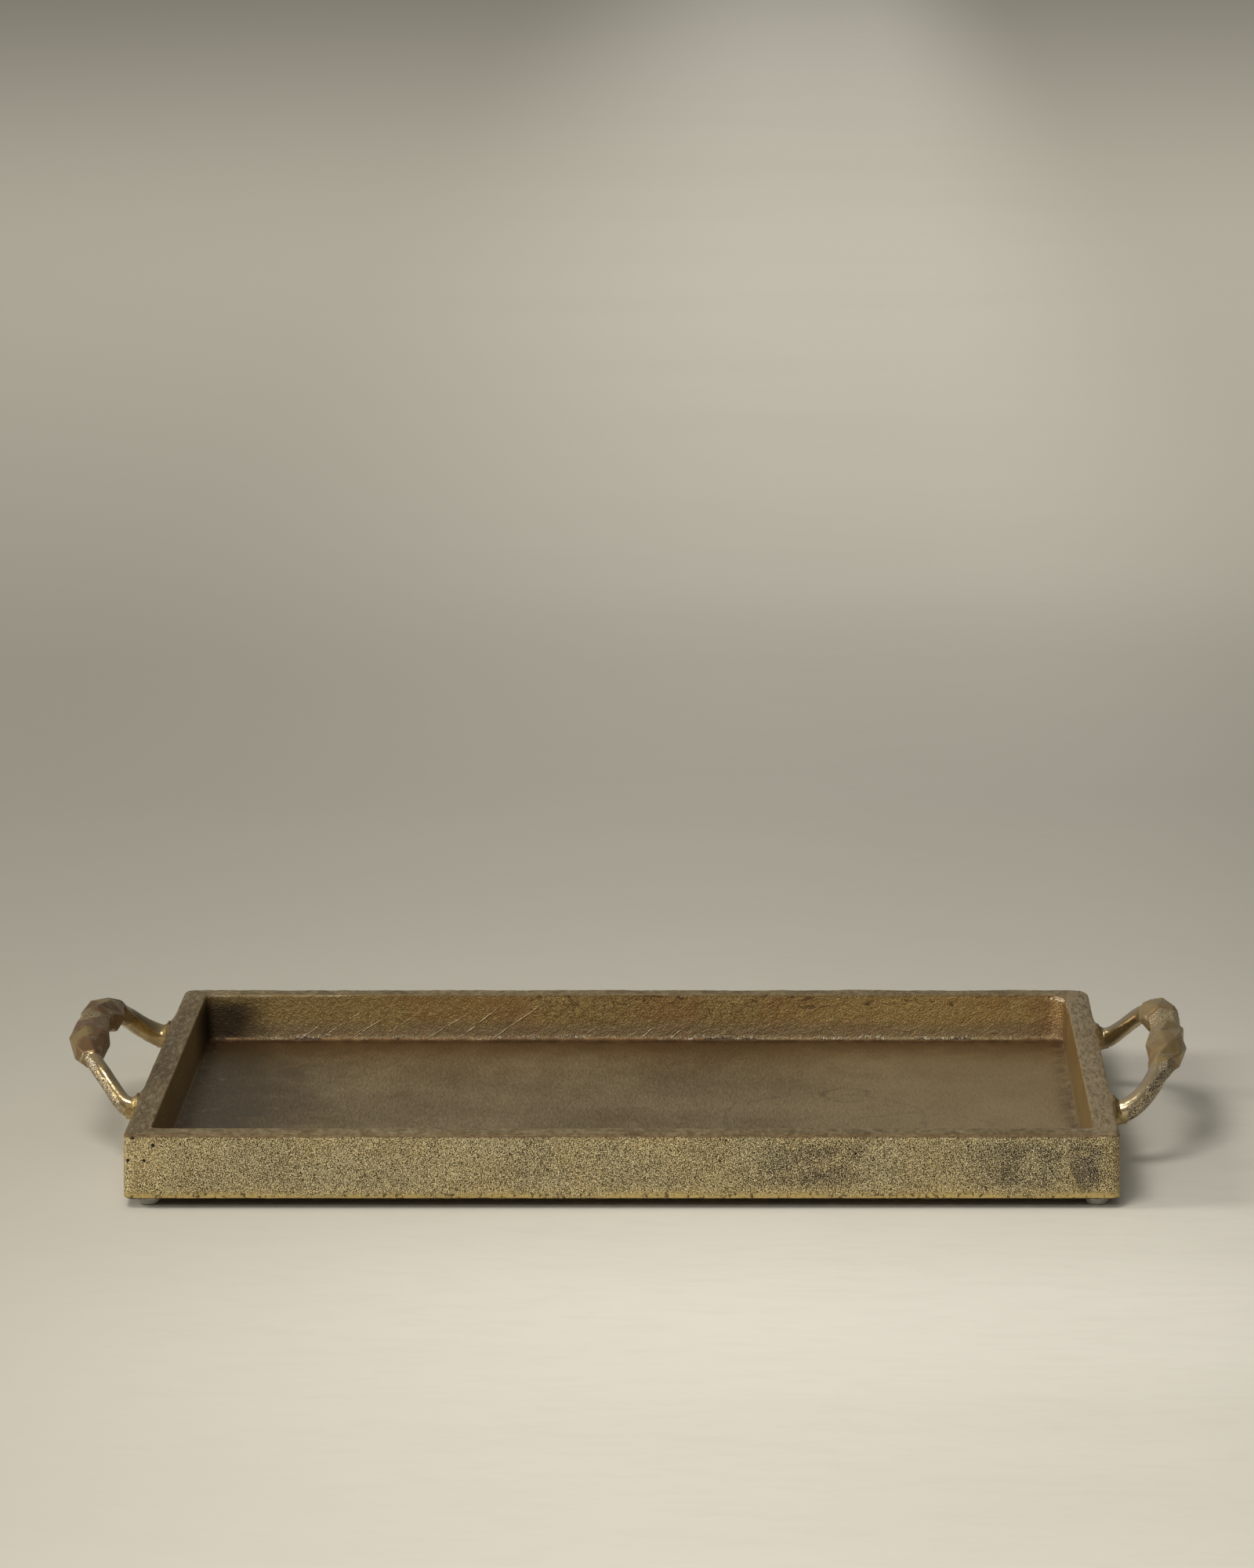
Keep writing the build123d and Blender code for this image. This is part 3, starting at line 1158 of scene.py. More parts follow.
@dataclass(frozen=True)
class TwigBrass:
    """Handles: polished olive-gold legs, gritty on their outer side, brown patina on the lumps, painted
    sparkle on the grit and painted shade between facets.
    """

    name: str = "twig_brass"
    polish: str = "#B99C60"
    shade: str = "#7E642C"
    brown: str = "#775936"
    olive: str = "#937C4E"
    mauve: str = "#86705A"
    rosy: str = "#CDB8A0"
    pit: str = "#20170A"
    painted_sparkle: str = "#F2E6C4"
    worn_edge: str = "#B79D68"
    pale_polish: str = "#CDB68A"
    patina: str = "#54401F"
    pale_lump: str = "#B9A070"
    neck_gold: str = "#BCA46C"
    crevice_shade: str = "#3A2A14"

    def paint(self) -> bpy.types.Material:
        """Build the material.

        Returns:
            The finished material.
        """
        r = Recipe(self.name)
        run = r.unsigned(r.axis("Y"))
        to_right = r.span(r.axis("X"), -0.1, 0.1)
        wander = r.noise(8 * MM, detail=3.0, roughness=0.6)
        stray = r.minus(wander, 0.5)
        outer = r.plus(r.stored("outer"), r.times(stray, 0.5))
        knot = r.span(r.plus(r.stored("lump"), r.times(stray, 0.9)), 0.30, 0.62)
        neck = r.span(r.plus(run, r.times(wander, 6 * MM)), 15 * MM, 10 * MM)
        grit = r.noise(0.55 * MM, detail=2.0, roughness=0.6)
        holes = r.noise(0.85 * MM, detail=2.0, roughness=0.55)
        patches = r.noise(10 * MM, detail=3.0, distortion=0.5)
        scabby = r.times(to_right, r.span(r.axis("Y"), -0.052, -0.060))
        leg_grit = r.span(r.plus(outer, r.times(scabby, 0.12)), 0.64, 0.76)
        gritty = r.blend(knot, leg_grit, r.larger(r.span(patches, 0.54, 0.62, 0.0, 0.55), neck))
        pits = r.times(r.span(grit, 0.52, 0.45), gritty)
        deep = r.times(r.span(holes, 0.49, 0.45), r.times(leg_grit, scabby))
        deep = r.times(deep, r.span(patches, 0.42, 0.54))
        pits = r.larger(pits, deep)
        # painted sparkle: near-white glints on the gritty grains
        painted_sparks = r.times(r.span(grit, 0.54, 0.60), gritty)
        crown = r.span(r.bend(), 0.515, 0.56)
        # painted shade in the concave places between the facets
        crevice_shade = r.span(r.bend(), 0.485, 0.43)

        leg = r.mix(r.span(wander, 0.40, 0.65, 0.0, 0.7), self.polish, self.shade)
        leg = r.lay(leg, self.pale_polish, to_right, 0.6)
        leg = r.lay(leg, self.rosy, leg_grit, 0.5)
        leg = r.lay(leg, self.pit, pits, 0.9)
        tint = r.plus(r.noise(15 * MM, detail=1.0), r.times(to_right, 0.10))
        lump = r.mix(r.span(tint, 0.46, 0.60), self.brown, self.olive)
        lump = r.lay(lump, self.mauve, r.span(patches, 0.50, 0.62, 0.0, 0.45))
        patina = r.noise(2.2 * MM, detail=4.0, roughness=0.62)
        lump = r.lay(lump, self.patina, r.span(patina, 0.50, 0.68, 0.0, 0.45))
        lump = r.lay(lump, self.pale_lump, to_right, 0.35)
        lump = r.lay(lump, self.neck_gold, neck, 0.65)
        lump = r.lay(lump, self.pit, pits, 0.65)
        lump = r.lay(lump, self.worn_edge, crown, 0.5)
        colour = r.mix(knot, leg, lump)
        colour = r.lay(colour, self.crevice_shade, crevice_shade, 0.75)
        colour = r.lay(colour, self.painted_sparkle, painted_sparks, 0.8)

        fine = r.times(grit, r.plus(r.times(gritty, 0.9), 0.10))
        fine = r.minus(fine, r.times(deep, 0.8))
        rough = r.blend(knot, r.blend(leg_grit, 0.20, 0.36), r.span(patina, 0.3, 0.7, 0.38, 0.50))
        r.surface(
            Base_Color=colour,
            Metallic=r.blend(r.larger(knot, r.times(leg_grit, 0.6)), 0.97, 0.66),
            Roughness=r.blend(pits, rough, 0.6),
            Coat_Weight=r.span(r.larger(knot, leg_grit), 0.0, 0.8, 0.9, 0.1),
            Coat_Roughness=0.20,
            Coat_IOR=2.1,
            Normal=r.bump(fine, 0.42 * MM),
        )
        return r.material


@dataclass(frozen=True)
class BrazeBrass:
    """Filler metal round the handle roots: filed smooth, browner where it is ground flush with the rim."""

    name: str = "braze_brass"
    rim_z: float = 39.5 * MM
    light: str = "#BBA475"
    dark: str = "#8A744A"
    pit: str = "#2E2010"
    ground_light: str = "#7E6A45"
    ground_dark: str = "#6A5638"

    def paint(self) -> bpy.types.Material:
        """Build the material.

        Returns:
            The finished material.
        """
        r = Recipe(self.name)
        grit = r.noise(1.2 * MM, detail=3.0, roughness=0.65)
        drift = r.noise(6 * MM, detail=3.0)
        ground = r.span(r.axis("Z"), self.rim_z - 2.2 * MM, self.rim_z - 0.4 * MM)
        colour = r.mix(r.span(drift, 0.35, 0.65), self.light, self.dark)
        colour = r.lay(colour, self.pit, r.span(grit, 0.54, 0.66, 0.0, 0.7))
        colour = r.mix(
            ground, colour, r.mix(r.span(grit, 0.4, 0.6), self.ground_light, self.ground_dark)
        )
        r.surface(
            Base_Color=colour,
            Metallic=r.blend(ground, 0.85, 0.6),
            Roughness=r.blend(ground, r.span(drift, 0.3, 0.7, 0.34, 0.5), 0.58),
            Normal=r.bump(grit, 0.22 * MM),
        )
        return r.material


@dataclass(frozen=True)
class ClearBumper:
    """Feet: clear soft polyurethane, a little grey, with dust on it."""

    name: str = "clear_bumper"
    body: str = "#DCDACE"
    dust: str = "#8E8A7E"

    def paint(self) -> bpy.types.Material:
        """Build the material.

        Returns:
            The finished material.
        """
        r = Recipe(self.name)
        dust = r.noise(1.4 * MM, detail=4.0, roughness=0.7)
        veil = r.noise(5 * MM, detail=2.0)
        r.surface(
            Base_Color=r.mix(r.span(dust, 0.55, 0.75, 0.0, 0.5), self.body, self.dust),
            Roughness=r.span(veil, 0.3, 0.7, 0.10, 0.26),
            IOR=1.49,
            Transmission_Weight=0.5,
            Normal=r.bump(dust, 0.03 * MM),
        )
        return r.material


@dataclass(frozen=True)
class AdhesiveFilm:
    """Clear adhesive film between a foot and the base, with trapped bubbles."""

    name: str = "adhesive_film"
    film: str = "#CFCBBD"
    bubble: str = "#EFECE2"

    def paint(self) -> bpy.types.Material:
        """Build the material.

        Returns:
            The finished material.
        """
        r = Recipe(self.name)
        bubbles = r.span(r.cells(1.1 * MM), 0.18, 0.30, 1.0, 0.0)
        veil = r.noise(3 * MM, detail=3.0)
        r.surface(
            Base_Color=r.mix(bubbles, self.film, self.bubble),
            Roughness=r.span(veil, 0.3, 0.7, 0.25, 0.45),
            IOR=1.47,
            Transmission_Weight=0.5,
            Normal=r.bump(bubbles, 0.04 * MM),
        )
        return r.material


@dataclass(frozen=True)
class PaleFloor:
    """Studio floor: pale warm plaster with very faint trowel marks; its colour carries a painted light
    falloff and a painted shadow right of the tray.
    """

    name: str = "pale_floor"
    light: str = "#ECE7DA"
    dark: str = "#E2DDCF"
    # far and side: colours of the painted light falloff and painted shade below
    far: str = "#BFBAAC"
    side: str = "#B3AEA0"
    trowel: str = "#BDB7A8"

    def paint(self) -> bpy.types.Material:
        """Build the material.

        Returns:
            The finished material.
        """
        r = Recipe(self.name)
        drift = r.noise(0.30, detail=4.0, roughness=0.55, vector=r.stretch((0.35, 1.0, 1.0)))
        fine = r.noise(9 * MM, detail=4.0, roughness=0.6, vector=r.stretch((0.3, 1.0, 1.0)))
        colour = r.mix(r.span(drift, 0.3, 0.7), self.light, self.dark)
        # painted light falloff: darker behind the tray, lighter again far off, darker well in front
        colour = r.lay(colour, self.far, r.span(r.axis("Y"), -0.5, 0.5, 0.0, 0.8))
        colour = r.lay(colour, self.light, r.span(r.axis("Y"), 4.5, 9.0, 0.0, 0.9))
        colour = r.lay(colour, self.side, r.span(r.axis("Y"), -0.25, -0.65, 0.0, 0.4))
        # painted shade towards the left and painted shadow right of the tray
        colour = r.lay(colour, self.side, r.span(r.axis("X"), 0.1, -0.5, 0.0, 0.9))
        colour = r.lay(colour, self.side, r.span(r.axis("X"), 0.25, 0.6, 0.0, 0.8))
        r.surface(
            Base_Color=r.mix(r.span(fine, 0.4, 0.8, 0.0, 0.12), colour, self.trowel),
            Roughness=0.85,
            Specular_IOR_Level=0.25,
            Normal=r.bump(r.blend(0.5, drift, fine), 0.4 * MM),
        )
        return r.material


# ---------------------------------------------------------------------------------------
# Tray casting
# ---------------------------------------------------------------------------------------
@dataclass(frozen=True)
class Unevenness:
    """One round of cast unevenness on a vertex group, with its grain and depth in millimetres."""

    group: str
    grain: float
    depth: float
    direction: str = "NORMAL"
    ridged: bool = False
    level: float = 0.5


@dataclass
class TrayCasting:
    """The tray: base land, drafted outer wall, ground rim, inner wall and floor in one mesh."""

    wall: float = 11.5 * MM
    outer_draft: float = math.radians(4.0)
    face_draft: float = math.radians(0.9)
    inner_draft: float = math.radians(3.0)
    hollow_depth: float = 26.5 * MM
    corner_radius: float = 4.2 * MM
    rear_right_radius: float = 8.5 * MM
    corner_steps: int = 6
    rim_round: float = 0.9 * MM
    shoulder: float = 2.1 * MM
    base_round: float = 1.0 * MM
    floor_round: float = 3.0 * MM
    root_bulge: float = 1.7 * MM
    allowance: float = 0.12 * MM
    relief_border: float = 24.0 * MM
    relief_depth: float = 3.5 * MM
    relief_round: float = 1.5 * MM
    long_steps: tuple[int, int] = (4, 80)
    short_steps: tuple[int, int] = (2, 95)
    outer_rows: int = 21
    inner_rows: int = 15
    unevenness: tuple[Unevenness, ...] = (
        Unevenness("outside", 45, 0.8, level=0.7),
        Unevenness("outside", 5, 0.35, level=0.7),
        Unevenness("rear_inside", 40, 0.8),
        Unevenness("rear_inside", 6, 0.55, ridged=True),
        Unevenness("inside", 30, 0.5),
        Unevenness("rim_edge", 26, 0.9, "Z", level=0.75),
        Unevenness("rim_edge", 4, 0.5, "Z", level=0.7),
        Unevenness("base_edge", 9, 0.6, level=0.7),
    )
    low: Vector = field(default_factory=Vector)
    high: Vector = field(default_factory=Vector)

    def __post_init__(self) -> None:
        """Read the casting's box from the frame."""
        self.low, self.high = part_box("tray_body")

    @property
    def floor_z(self) -> float:
        """Height of the tray's floor."""
        return self.high.z - self.hollow_depth

    @property
    def rim_half(self) -> Vector:
        """Half the rim's outside length and width."""
        spread = (self.high.z - self.low.z) * math.tan(self.outer_draft)
        return Vector((self.high.x - spread, self.high.y - spread))

    def profile(self) -> list[tuple[float, float]]:
        """Section of the wall as a chain of points.

        Returns:
            Inset from the base's edge and height of each point, from the relief's ceiling
            round the outside and over the rim to the floor.
        """
        base, rim = self.low.z, self.high.z
        ceiling = base + self.relief_depth
        chain: list[tuple[float, float]] = []

        def arc(inset: float, height: float, radius: float, start: float, end: float, steps: int) -> None:
            """Add points round a centre at an inset and height, between two angles in degrees."""
            for step in range(steps + 1):
                angle = math.radians(start + (end - start) * step / steps)
                chain.append((inset + radius * math.cos(angle), height + radius * math.sin(angle)))

        def run(inset: float, height: float, steps: int) -> None:
            """Add points in a straight line from the last one, in equal steps."""
            first = chain[-1]
            for step in range(1, steps + 1):
                share = step / steps
                chain.append((first[0] + (inset - first[0]) * share,
                              first[1] + (height - first[1]) * share))

        border = self.relief_border
        arc(border + self.relief_round, ceiling - self.relief_round, self.relief_round, 90, 180, 3)
        run(border, base + 0.6 * MM, 1)
        arc(border - 0.6 * MM, base + 0.6 * MM, 0.6 * MM, 0, -90, 2)
        run(self.base_round, base, 6)
        arc(self.base_round, base + self.base_round, self.base_round, -90, -176, 3)
        top_inset = (rim - base) * math.tan(self.outer_draft)
        lip = self.rim_round
        face_top = (rim - base) * math.tan(self.face_draft)
        run(face_top, rim - self.shoulder, self.outer_rows)
        arc(face_top + self.shoulder, rim - self.shoulder, self.shoulder, 160, 90, 4)
        inner_top = top_inset + self.wall
        run(inner_top - lip, rim, 6)
        arc(inner_top - lip, rim - lip, lip, 65, 5, 2)
        foot = inner_top + (self.hollow_depth - self.floor_round) * math.tan(self.inner_draft)
        run(foot, self.floor_z + self.floor_round, self.inner_rows)
        arc(foot + self.floor_round, self.floor_z + self.floor_round, self.floor_round, 202, 270, 3)
        run(foot + self.floor_round + 10 * MM, self.floor_z, 3)
        run(self.high.y - 25 * MM, self.floor_z, 9)
        return chain

    def build(self) -> bpy.types.Object:
        """Model the casting from one plane by extruding it round the wall's section.

        Returns:
            The casting's mesh object.
        """
        chain = [(inset + self.allowance, height) for inset, height in self.profile()]
        inset, height = chain[0]
        put_down_all()
        bpy.ops.mesh.primitive_plane_add(size=1.0, location=(0, 0, height))
        piece = bpy.context.active_object
        piece.name = "tray_casting"
        edit(piece)
        bpy.ops.mesh.select_all(action="SELECT")
        size = Vector((2 * (self.high.x - inset), 2 * (self.high.y - inset)))
        bpy.ops.transform.resize(value=(size.x, size.y, 1), center_override=(0, 0, height))
        bpy.ops.mesh.delete(type="ONLY_FACE")
        pick_vertices(piece, lambda co, k: co.x > 0 and co.y > 0)
        bpy.ops.mesh.bevel(
            affect="VERTICES", offset=self.rear_right_radius, segments=self.corner_steps)
        reach = size.y / 2 - 0.1 * MM
        pick_vertices(piece, lambda co, k: abs(co.y) > reach and (co.x < 0 or co.y < 0)
                      and abs(co.x) > size.x / 2 - 0.1 * MM)
        bpy.ops.mesh.bevel(affect="VERTICES", offset=self.corner_radius, segments=self.corner_steps)
        self.divide(piece, 0, self.long_steps)
        self.divide(piece, 1, self.short_steps)
        bpy.ops.mesh.select_all(action="SELECT")
        bpy.ops.mesh.edge_face_add()
        bpy.ops.mesh.select_mode(type="FACE")
        bpy.ops.mesh.select_all(action="SELECT")
        for next_inset, next_height in chain[1:]:
            bpy.ops.mesh.extrude_region_move(
                TRANSFORM_OT_translate={"value": (0, 0, next_height - height)})
            new_size = Vector((2 * (self.high.x - next_inset), 2 * (self.high.y - next_inset)))
            bpy.ops.transform.resize(
                value=(new_size.x / size.x, new_size.y / size.y, 1), center_override=(0, 0, 0))
            size, height = new_size, next_height
        bpy.ops.mesh.select_all(action="SELECT")
        bpy.ops.mesh.normals_make_consistent(inside=False)
        put_down_all()
        piece.data.transform(piece.matrix_world)
        piece.matrix_world = Matrix.Identity(4)
        self.weather(piece)
        return piece

    def divide(self, piece: bpy.types.Object, axis: int, steps: tuple[int, int]) -> None:
        """Cut the two long edges along an axis into equal steps, in two passes.

        Args:
            piece: the outline being edited.
            axis: 0 for the edges along X, 1 for those along Y.
            steps: how many parts each pass makes of an edge.
        """
        for count, shortest in ((steps[0], 0.1), (steps[1], 0.02)):
            pick_edges(piece, lambda a, b: abs(a[axis] - b[axis]) > shortest)
            bpy.ops.mesh.subdivide(number_cuts=count - 1)

    def weather(self, piece: bpy.types.Object) -> None:
        """Give the casting its uneven walls, rim and edges.

        Args:
            piece: the casting's mesh object.
        """
        places = vertex_places(piece)
        inside_x = np.abs(places[:, 0]) - (self.rim_half.x - self.wall / 2)
        inside_y = np.abs(places[:, 1]) - (self.rim_half.y - self.wall / 2)
        outer = np.maximum(inside_x, inside_y) > 0
        height = places[:, 2]
        above_base = np.clip((height - self.low.z) / (2 * MM), 0, 1)
        below_rim = np.clip((self.high.z - 0.3 * MM - height) / (2 * MM), 0, 1)
        weigh(piece, "outside", outer * above_base * below_rim)
        above_floor = np.clip((height - self.floor_z) / (2 * MM), 0, 1)
        rear = (~outer) * above_floor * below_rim * (places[:, 1] > 0.1)
        weigh(piece, "rear_inside", rear)
        weigh(piece, "inside", (~outer) * above_floor * below_rim * (places[:, 1] <= 0.1))
        edge_in = np.abs(np.maximum(np.abs(places[:, 0]) - self.rim_half.x,
                                    np.abs(places[:, 1]) - self.rim_half.y))
        at_edge = np.clip(1 - edge_in / (2.5 * MM), 0, 1)
        weigh(piece, "rim_edge", at_edge * (height > self.high.z - 3 * MM))
        weigh(piece, "base_edge", outer * np.clip(1 - (height - self.low.z) / (3 * MM), 0, 1))
        for end in End:
            swell = np.zeros(len(places))
            for root, spread in ((-73.5 * MM, 10 * MM), (79.0 * MM, 11 * MM)):
                off = (places[:, 1] + end.value * root) / spread
                swell = np.maximum(swell, np.exp(-off * off))
            swell *= np.clip((places[:, 0] * end.value - self.rim_half.x + 5 * MM) / (5 * MM), 0, 1)
            swell *= np.clip((height - self.high.z + 22 * MM) / (16 * MM), 0, 1)
            weigh(piece, f"root_{end.name.lower()}", swell)
            bulge(piece, f"root_{end.name.lower()}", end.value * self.root_bulge)
        for one in self.unevenness:
            roughen(
                piece, one.grain * MM, one.depth * MM, one.group, one.direction, one.ridged, one.level)
        smooth(piece)

    def dress(self, piece: bpy.types.Object) -> None:
        """Give each zone of the casting its finish.

        Args:
            piece: the casting's mesh object.
        """
        finishes = (
            SandCastBrass(base_z=self.low.z, rim_z=self.high.z, half_length=self.high.x),
            GroundRimBrass(half_length=self.rim_half.x, half_width=self.rim_half.y, wall=self.wall),
            InnerWallBrass(floor_z=self.floor_z, rim_z=self.high.z),
            SatinFloorBrass(),
            UndersideBrass(),
        )
        for finish in finishes:
            piece.data.materials.append(finish.paint())
        count = len(piece.data.polygons)
        centres = np.zeros(count * 3)
        normals = np.zeros(count * 3)
        piece.data.polygons.foreach_get("center", centres)
        piece.data.polygons.foreach_get("normal", normals)
        centres, normals = centres.reshape(-1, 3), normals.reshape(-1, 3)
        outward = np.sum(centres[:, :2] * normals[:, :2] / self.rim_half.to_tuple()[0:2], axis=1) > 0
        zones = np.where(outward, Zone.OUTSIDE.value, Zone.INNER_WALL.value)
        zones[(normals[:, 2] > 0.5) & (centres[:, 2] > self.high.z - 1.2 * MM)] = Zone.RIM.value
        zones[(normals[:, 2] > 0.6) & (centres[:, 2] < self.floor_z + 2 * MM)] = Zone.FLOOR.value
        below = (normals[:, 2] < -0.5) | (centres[:, 2] < self.low.z + 0.1 * MM)
        inboard = (np.abs(centres[:, 0]) < self.high.x - self.relief_border + 2 * MM) & (
            np.abs(centres[:, 1]) < self.high.y - self.relief_border + 2 * MM)
        zones[below | (inboard & (centres[:, 2] < self.floor_z - 1 * MM))] = Zone.UNDERSIDE.value
        piece.data.polygons.foreach_set("material_index", zones.astype(np.int32))


# ---------------------------------------------------------------------------------------
# Handles
# ---------------------------------------------------------------------------------------
@dataclass(frozen=True)
class Station:
    """One section of a handle, in millimetres from the rim's outer edge at its middle."""

    reach: float
    run: float
    rise: float
    half_width: float
    half_height: float
    twist: float = 0.0


@dataclass
class TwigHandle:
    """A twig-shaped handle: two smooth legs that run into a pair of faceted lumps and a neck."""

    rim_half_length: float
    rim_z: float
    leg_sides: int = 8
    leg_swell: float = 1.09
    lump_sides: int = 6
    edge_softness: float = 0.55 * MM
    grain: float = 0.60 * MM
    straight_leg: tuple[Station, ...] = (
        Station(-2.5, -73.5, -8.3, 6.0, 6.8),
        Station(3.0, -73.5, -8.3, 5.5, 6.5),
        Station(7.0, -73.2, -7.8, 4.9, 5.9),
        Station(11.0, -71.6, -5.8, 4.7, 5.3),
        Station(14.6, -67.8, -2.0, 4.6, 4.9),
        Station(20.0, -61.8, 4.2, 4.4, 4.7),
        Station(25.4, -56.6, 10.1, 4.6, 4.8),
        Station(29.7, -50.0, 13.8, 4.6, 4.4),
        Station(32.6, -39.0, 15.4, 5.0, 4.4),
        Station(34.0, -25.0, 17.2, 5.0, 4.4),
    )
    curved_leg: tuple[Station, ...] = (
        Station(34.5, 30.0, 15.6, 5.0, 5.0),
        Station(32.6, 46.0, 13.4, 5.4, 5.2),
        Station(29.2, 57.0, 11.0, 5.4, 5.4),
        Station(26.4, 64.0, 8.2, 5.3, 5.5),
        Station(22.4, 71.4, 3.0, 5.5, 5.9),
        Station(16.0, 77.0, -3.4, 5.5, 6.0),
        Station(9.5, 79.0, -7.2, 5.5, 6.4),
        Station(4.0, 79.0, -8.9, 5.7, 6.9),
        Station(-2.5, 79.0, -9.2, 6.2, 7.2),
    )
    straight_lump: tuple[Station, ...] = (
        Station(29.4, -52.0, 13.0, 6.4, 5.6, 20),
        Station(31.4, -44.5, 14.3, 8.8, 7.6, 8),
        Station(33.0, -28.5, 16.6, 11.6, 10.2, -14),
        Station(34.0, -15.5, 18.0, 10.6, 8.6, 18),
        Station(34.6, -8.5, 17.2, 7.8, 6.4, 30),
    )
    neck: tuple[Station, ...] = (
        Station(33.6, -20.0, 17.2, 8.0, 6.8, 0),
        Station(34.6, -9.0, 18.6, 9.2, 7.2, 14),
        Station(34.8, 1.0, 18.4, 8.8, 6.6, 40),
        Station(34.8, 12.0, 17.2, 8.2, 6.6, 20),
    )
    curved_lump: tuple[Station, ...] = (
        Station(35.0, 8.5, 16.6, 8.4, 6.4, 24),
        Station(34.6, 16.0, 16.6, 10.2, 9.0, 0),
        Station(33.0, 33.5, 15.0, 11.6, 10.0, 22),
        Station(31.6, 48.0, 13.0, 9.6, 8.6, -8),
        Station(28.8, 57.6, 10.8, 7.6, 7.4, 16),
        Station(26.2, 64.8, 7.6, 5.5, 5.6, 4),
    )

    def centre(self, station: Station) -> Vector:
        """Middle of a section on the right-hand handle.

        Args:
            station: the section.

        Returns:
            Its middle, in metres.
        """
        return Vector((
            self.rim_half_length + station.reach * MM,
            -station.run * MM,
            self.rim_z + station.rise * MM,
        ))

    def loft(self, name: str, stations: Sequence[Station], sides: int, swell: float) -> bpy.types.Object:
        """Model one run of the handle from rings bridged one to the next.

        Args:
            name: the object's name.
            stations: its sections, in order.
            sides: vertices in each ring.
            swell: factor on the sections.

        Returns:
            The mesh object.
        """
        centres = [self.centre(station) for station in stations]
        put_down_all()
        piece = bpy.data.objects.new(name, bpy.data.meshes.new(name))
        bpy.context.scene.collection.objects.link(piece)
        edit(piece)
        last = len(centres) - 1
        for index, station in enumerate(stations):
            along = (centres[min(index + 1, last)] - centres[max(index - 1, 0)]).normalized()
            across = Vector((0, 0, 1)).cross(along).normalized()
            basis = Matrix((across, along.cross(across), along)).transposed()
            turned = basis @ Matrix.Rotation(math.radians(station.twist), 3, "Z")
            add_ring(centres[index], turned, station.half_width * MM * swell,
                     station.half_height * MM * swell, sides)
        join_rings(piece, len(centres), sides)
        bpy.ops.mesh.select_all(action="SELECT")
        bpy.ops.mesh.normals_make_consistent(inside=False)
        put_down_all()
        return piece

    def build(self) -> bpy.types.Object:
        """Model the right-hand handle: smooth legs, faceted lumps and neck, fused into one skin.

        Returns:
            The handle's mesh object.
        """
        parts = []
        for name, stations in (("leg_a", self.straight_leg), ("leg_b", self.curved_leg)):
            part = self.loft(name, stations, self.leg_sides, self.leg_swell)
            rounding = part.modifiers.new("rounding", "SUBSURF")
            rounding.levels = 3
            rounding.render_levels = 3
            apply_modifiers(part)
            parts.append(part)
        for name, stations in (
            ("lump_a", self.straight_lump), ("neck", self.neck), ("lump_b", self.curved_lump),
        ):
            part = self.loft(name, stations, self.lump_sides, 1.0)
            easing = part.modifiers.new("easing", "BEVEL")
            easing.width = self.edge_softness
            easing.segments = 2
            easing.limit_method = "ANGLE"
            easing.angle_limit = math.radians(12)
            apply_modifiers(part)
            parts.append(part)
        put_down_all()
        for part in parts:
            part.select_set(True)
        bpy.context.view_layer.objects.active = parts[0]
        bpy.ops.object.join()
        piece = parts[0]
        piece.name = "handle_right_twig"
        fusing = piece.modifiers.new("fusing", "REMESH")
        fusing.mode = "VOXEL"
        fusing.voxel_size = self.grain
        settling = piece.modifiers.new("settling", "SMOOTH")
        settling.factor = 0.5
        settling.iterations = 2
        apply_modifiers(piece)
        return piece

    def copy_to(self, piece: bpy.types.Object, name: str) -> bpy.types.Object:
        """Copy the right-hand handle to the left end, half a turn round.

        Args:
            piece: the right-hand handle.
            name: name of the copy.

        Returns:
            The copy, with its own mesh.
        """
        twin = piece.copy()
        twin.data = piece.data.copy()
        twin.name = name
        bpy.context.scene.collection.objects.link(twin)
        edit(twin)
        bpy.ops.mesh.select_all(action="SELECT")
        bpy.ops.transform.rotate(
            value=math.pi, orient_axis="Z", orient_type="GLOBAL", center_override=(0, 0, 0))
        put_down_all()
        return twin

    def weather(self, piece: bpy.types.Object) -> None:
        """Give a handle its cast unevenness.

        Args:
            piece: the handle's mesh object.
        """
        roughen(piece, 16 * MM, 0.5 * MM)
        roughen(piece, 2.6 * MM, 0.12 * MM)
        self.mark_sides(piece)
        smooth(piece)

    def mark_sides(self, piece: bpy.types.Object) -> None:
        """Store on each vertex how far it faces away from the tray, and whether it is on a lump.

        Args:
            piece: the handle's mesh object.
        """
        places = vertex_places(piece)
        end = np.sign(places[0, 0])
        spine = [np.array(self.centre(station)) for station in
                 (*self.straight_leg[:7], *self.straight_lump[1:4], *self.curved_lump[1:4],
                  *self.curved_leg[2:])]
        flip = np.array((end, end, 1.0))
        near = np.full(len(places), np.inf)
        side = np.zeros(len(places))
        for first, second in zip(spine, spine[1:]):
            start, run = first * flip, (second - first) * flip
            share = np.clip((places - start) @ run / (run @ run), 0, 1)
            offset = places - (start + share[:, None] * run)
            far = np.linalg.norm(offset, axis=1)
            closer = far < near
            near = np.where(closer, far, near)
            out = offset[:, 0] * end / np.maximum(far, 1e-6)
            side = np.where(closer, out, side)
        run = -places[:, 1] * end
        past_start = np.clip((run + 54.0 * MM) / (2.0 * MM), 0, 1)
        before_end = np.clip((67.0 * MM - run) / (8.0 * MM), 0, 1)
        on_lump = past_start * before_end
        for name, values in (("outer", side * 0.5 + 0.5), ("lump", on_lump)):
            layer = piece.data.attributes.new(name, "FLOAT", "POINT")
            layer.data.foreach_set("value", values.astype(np.float32))


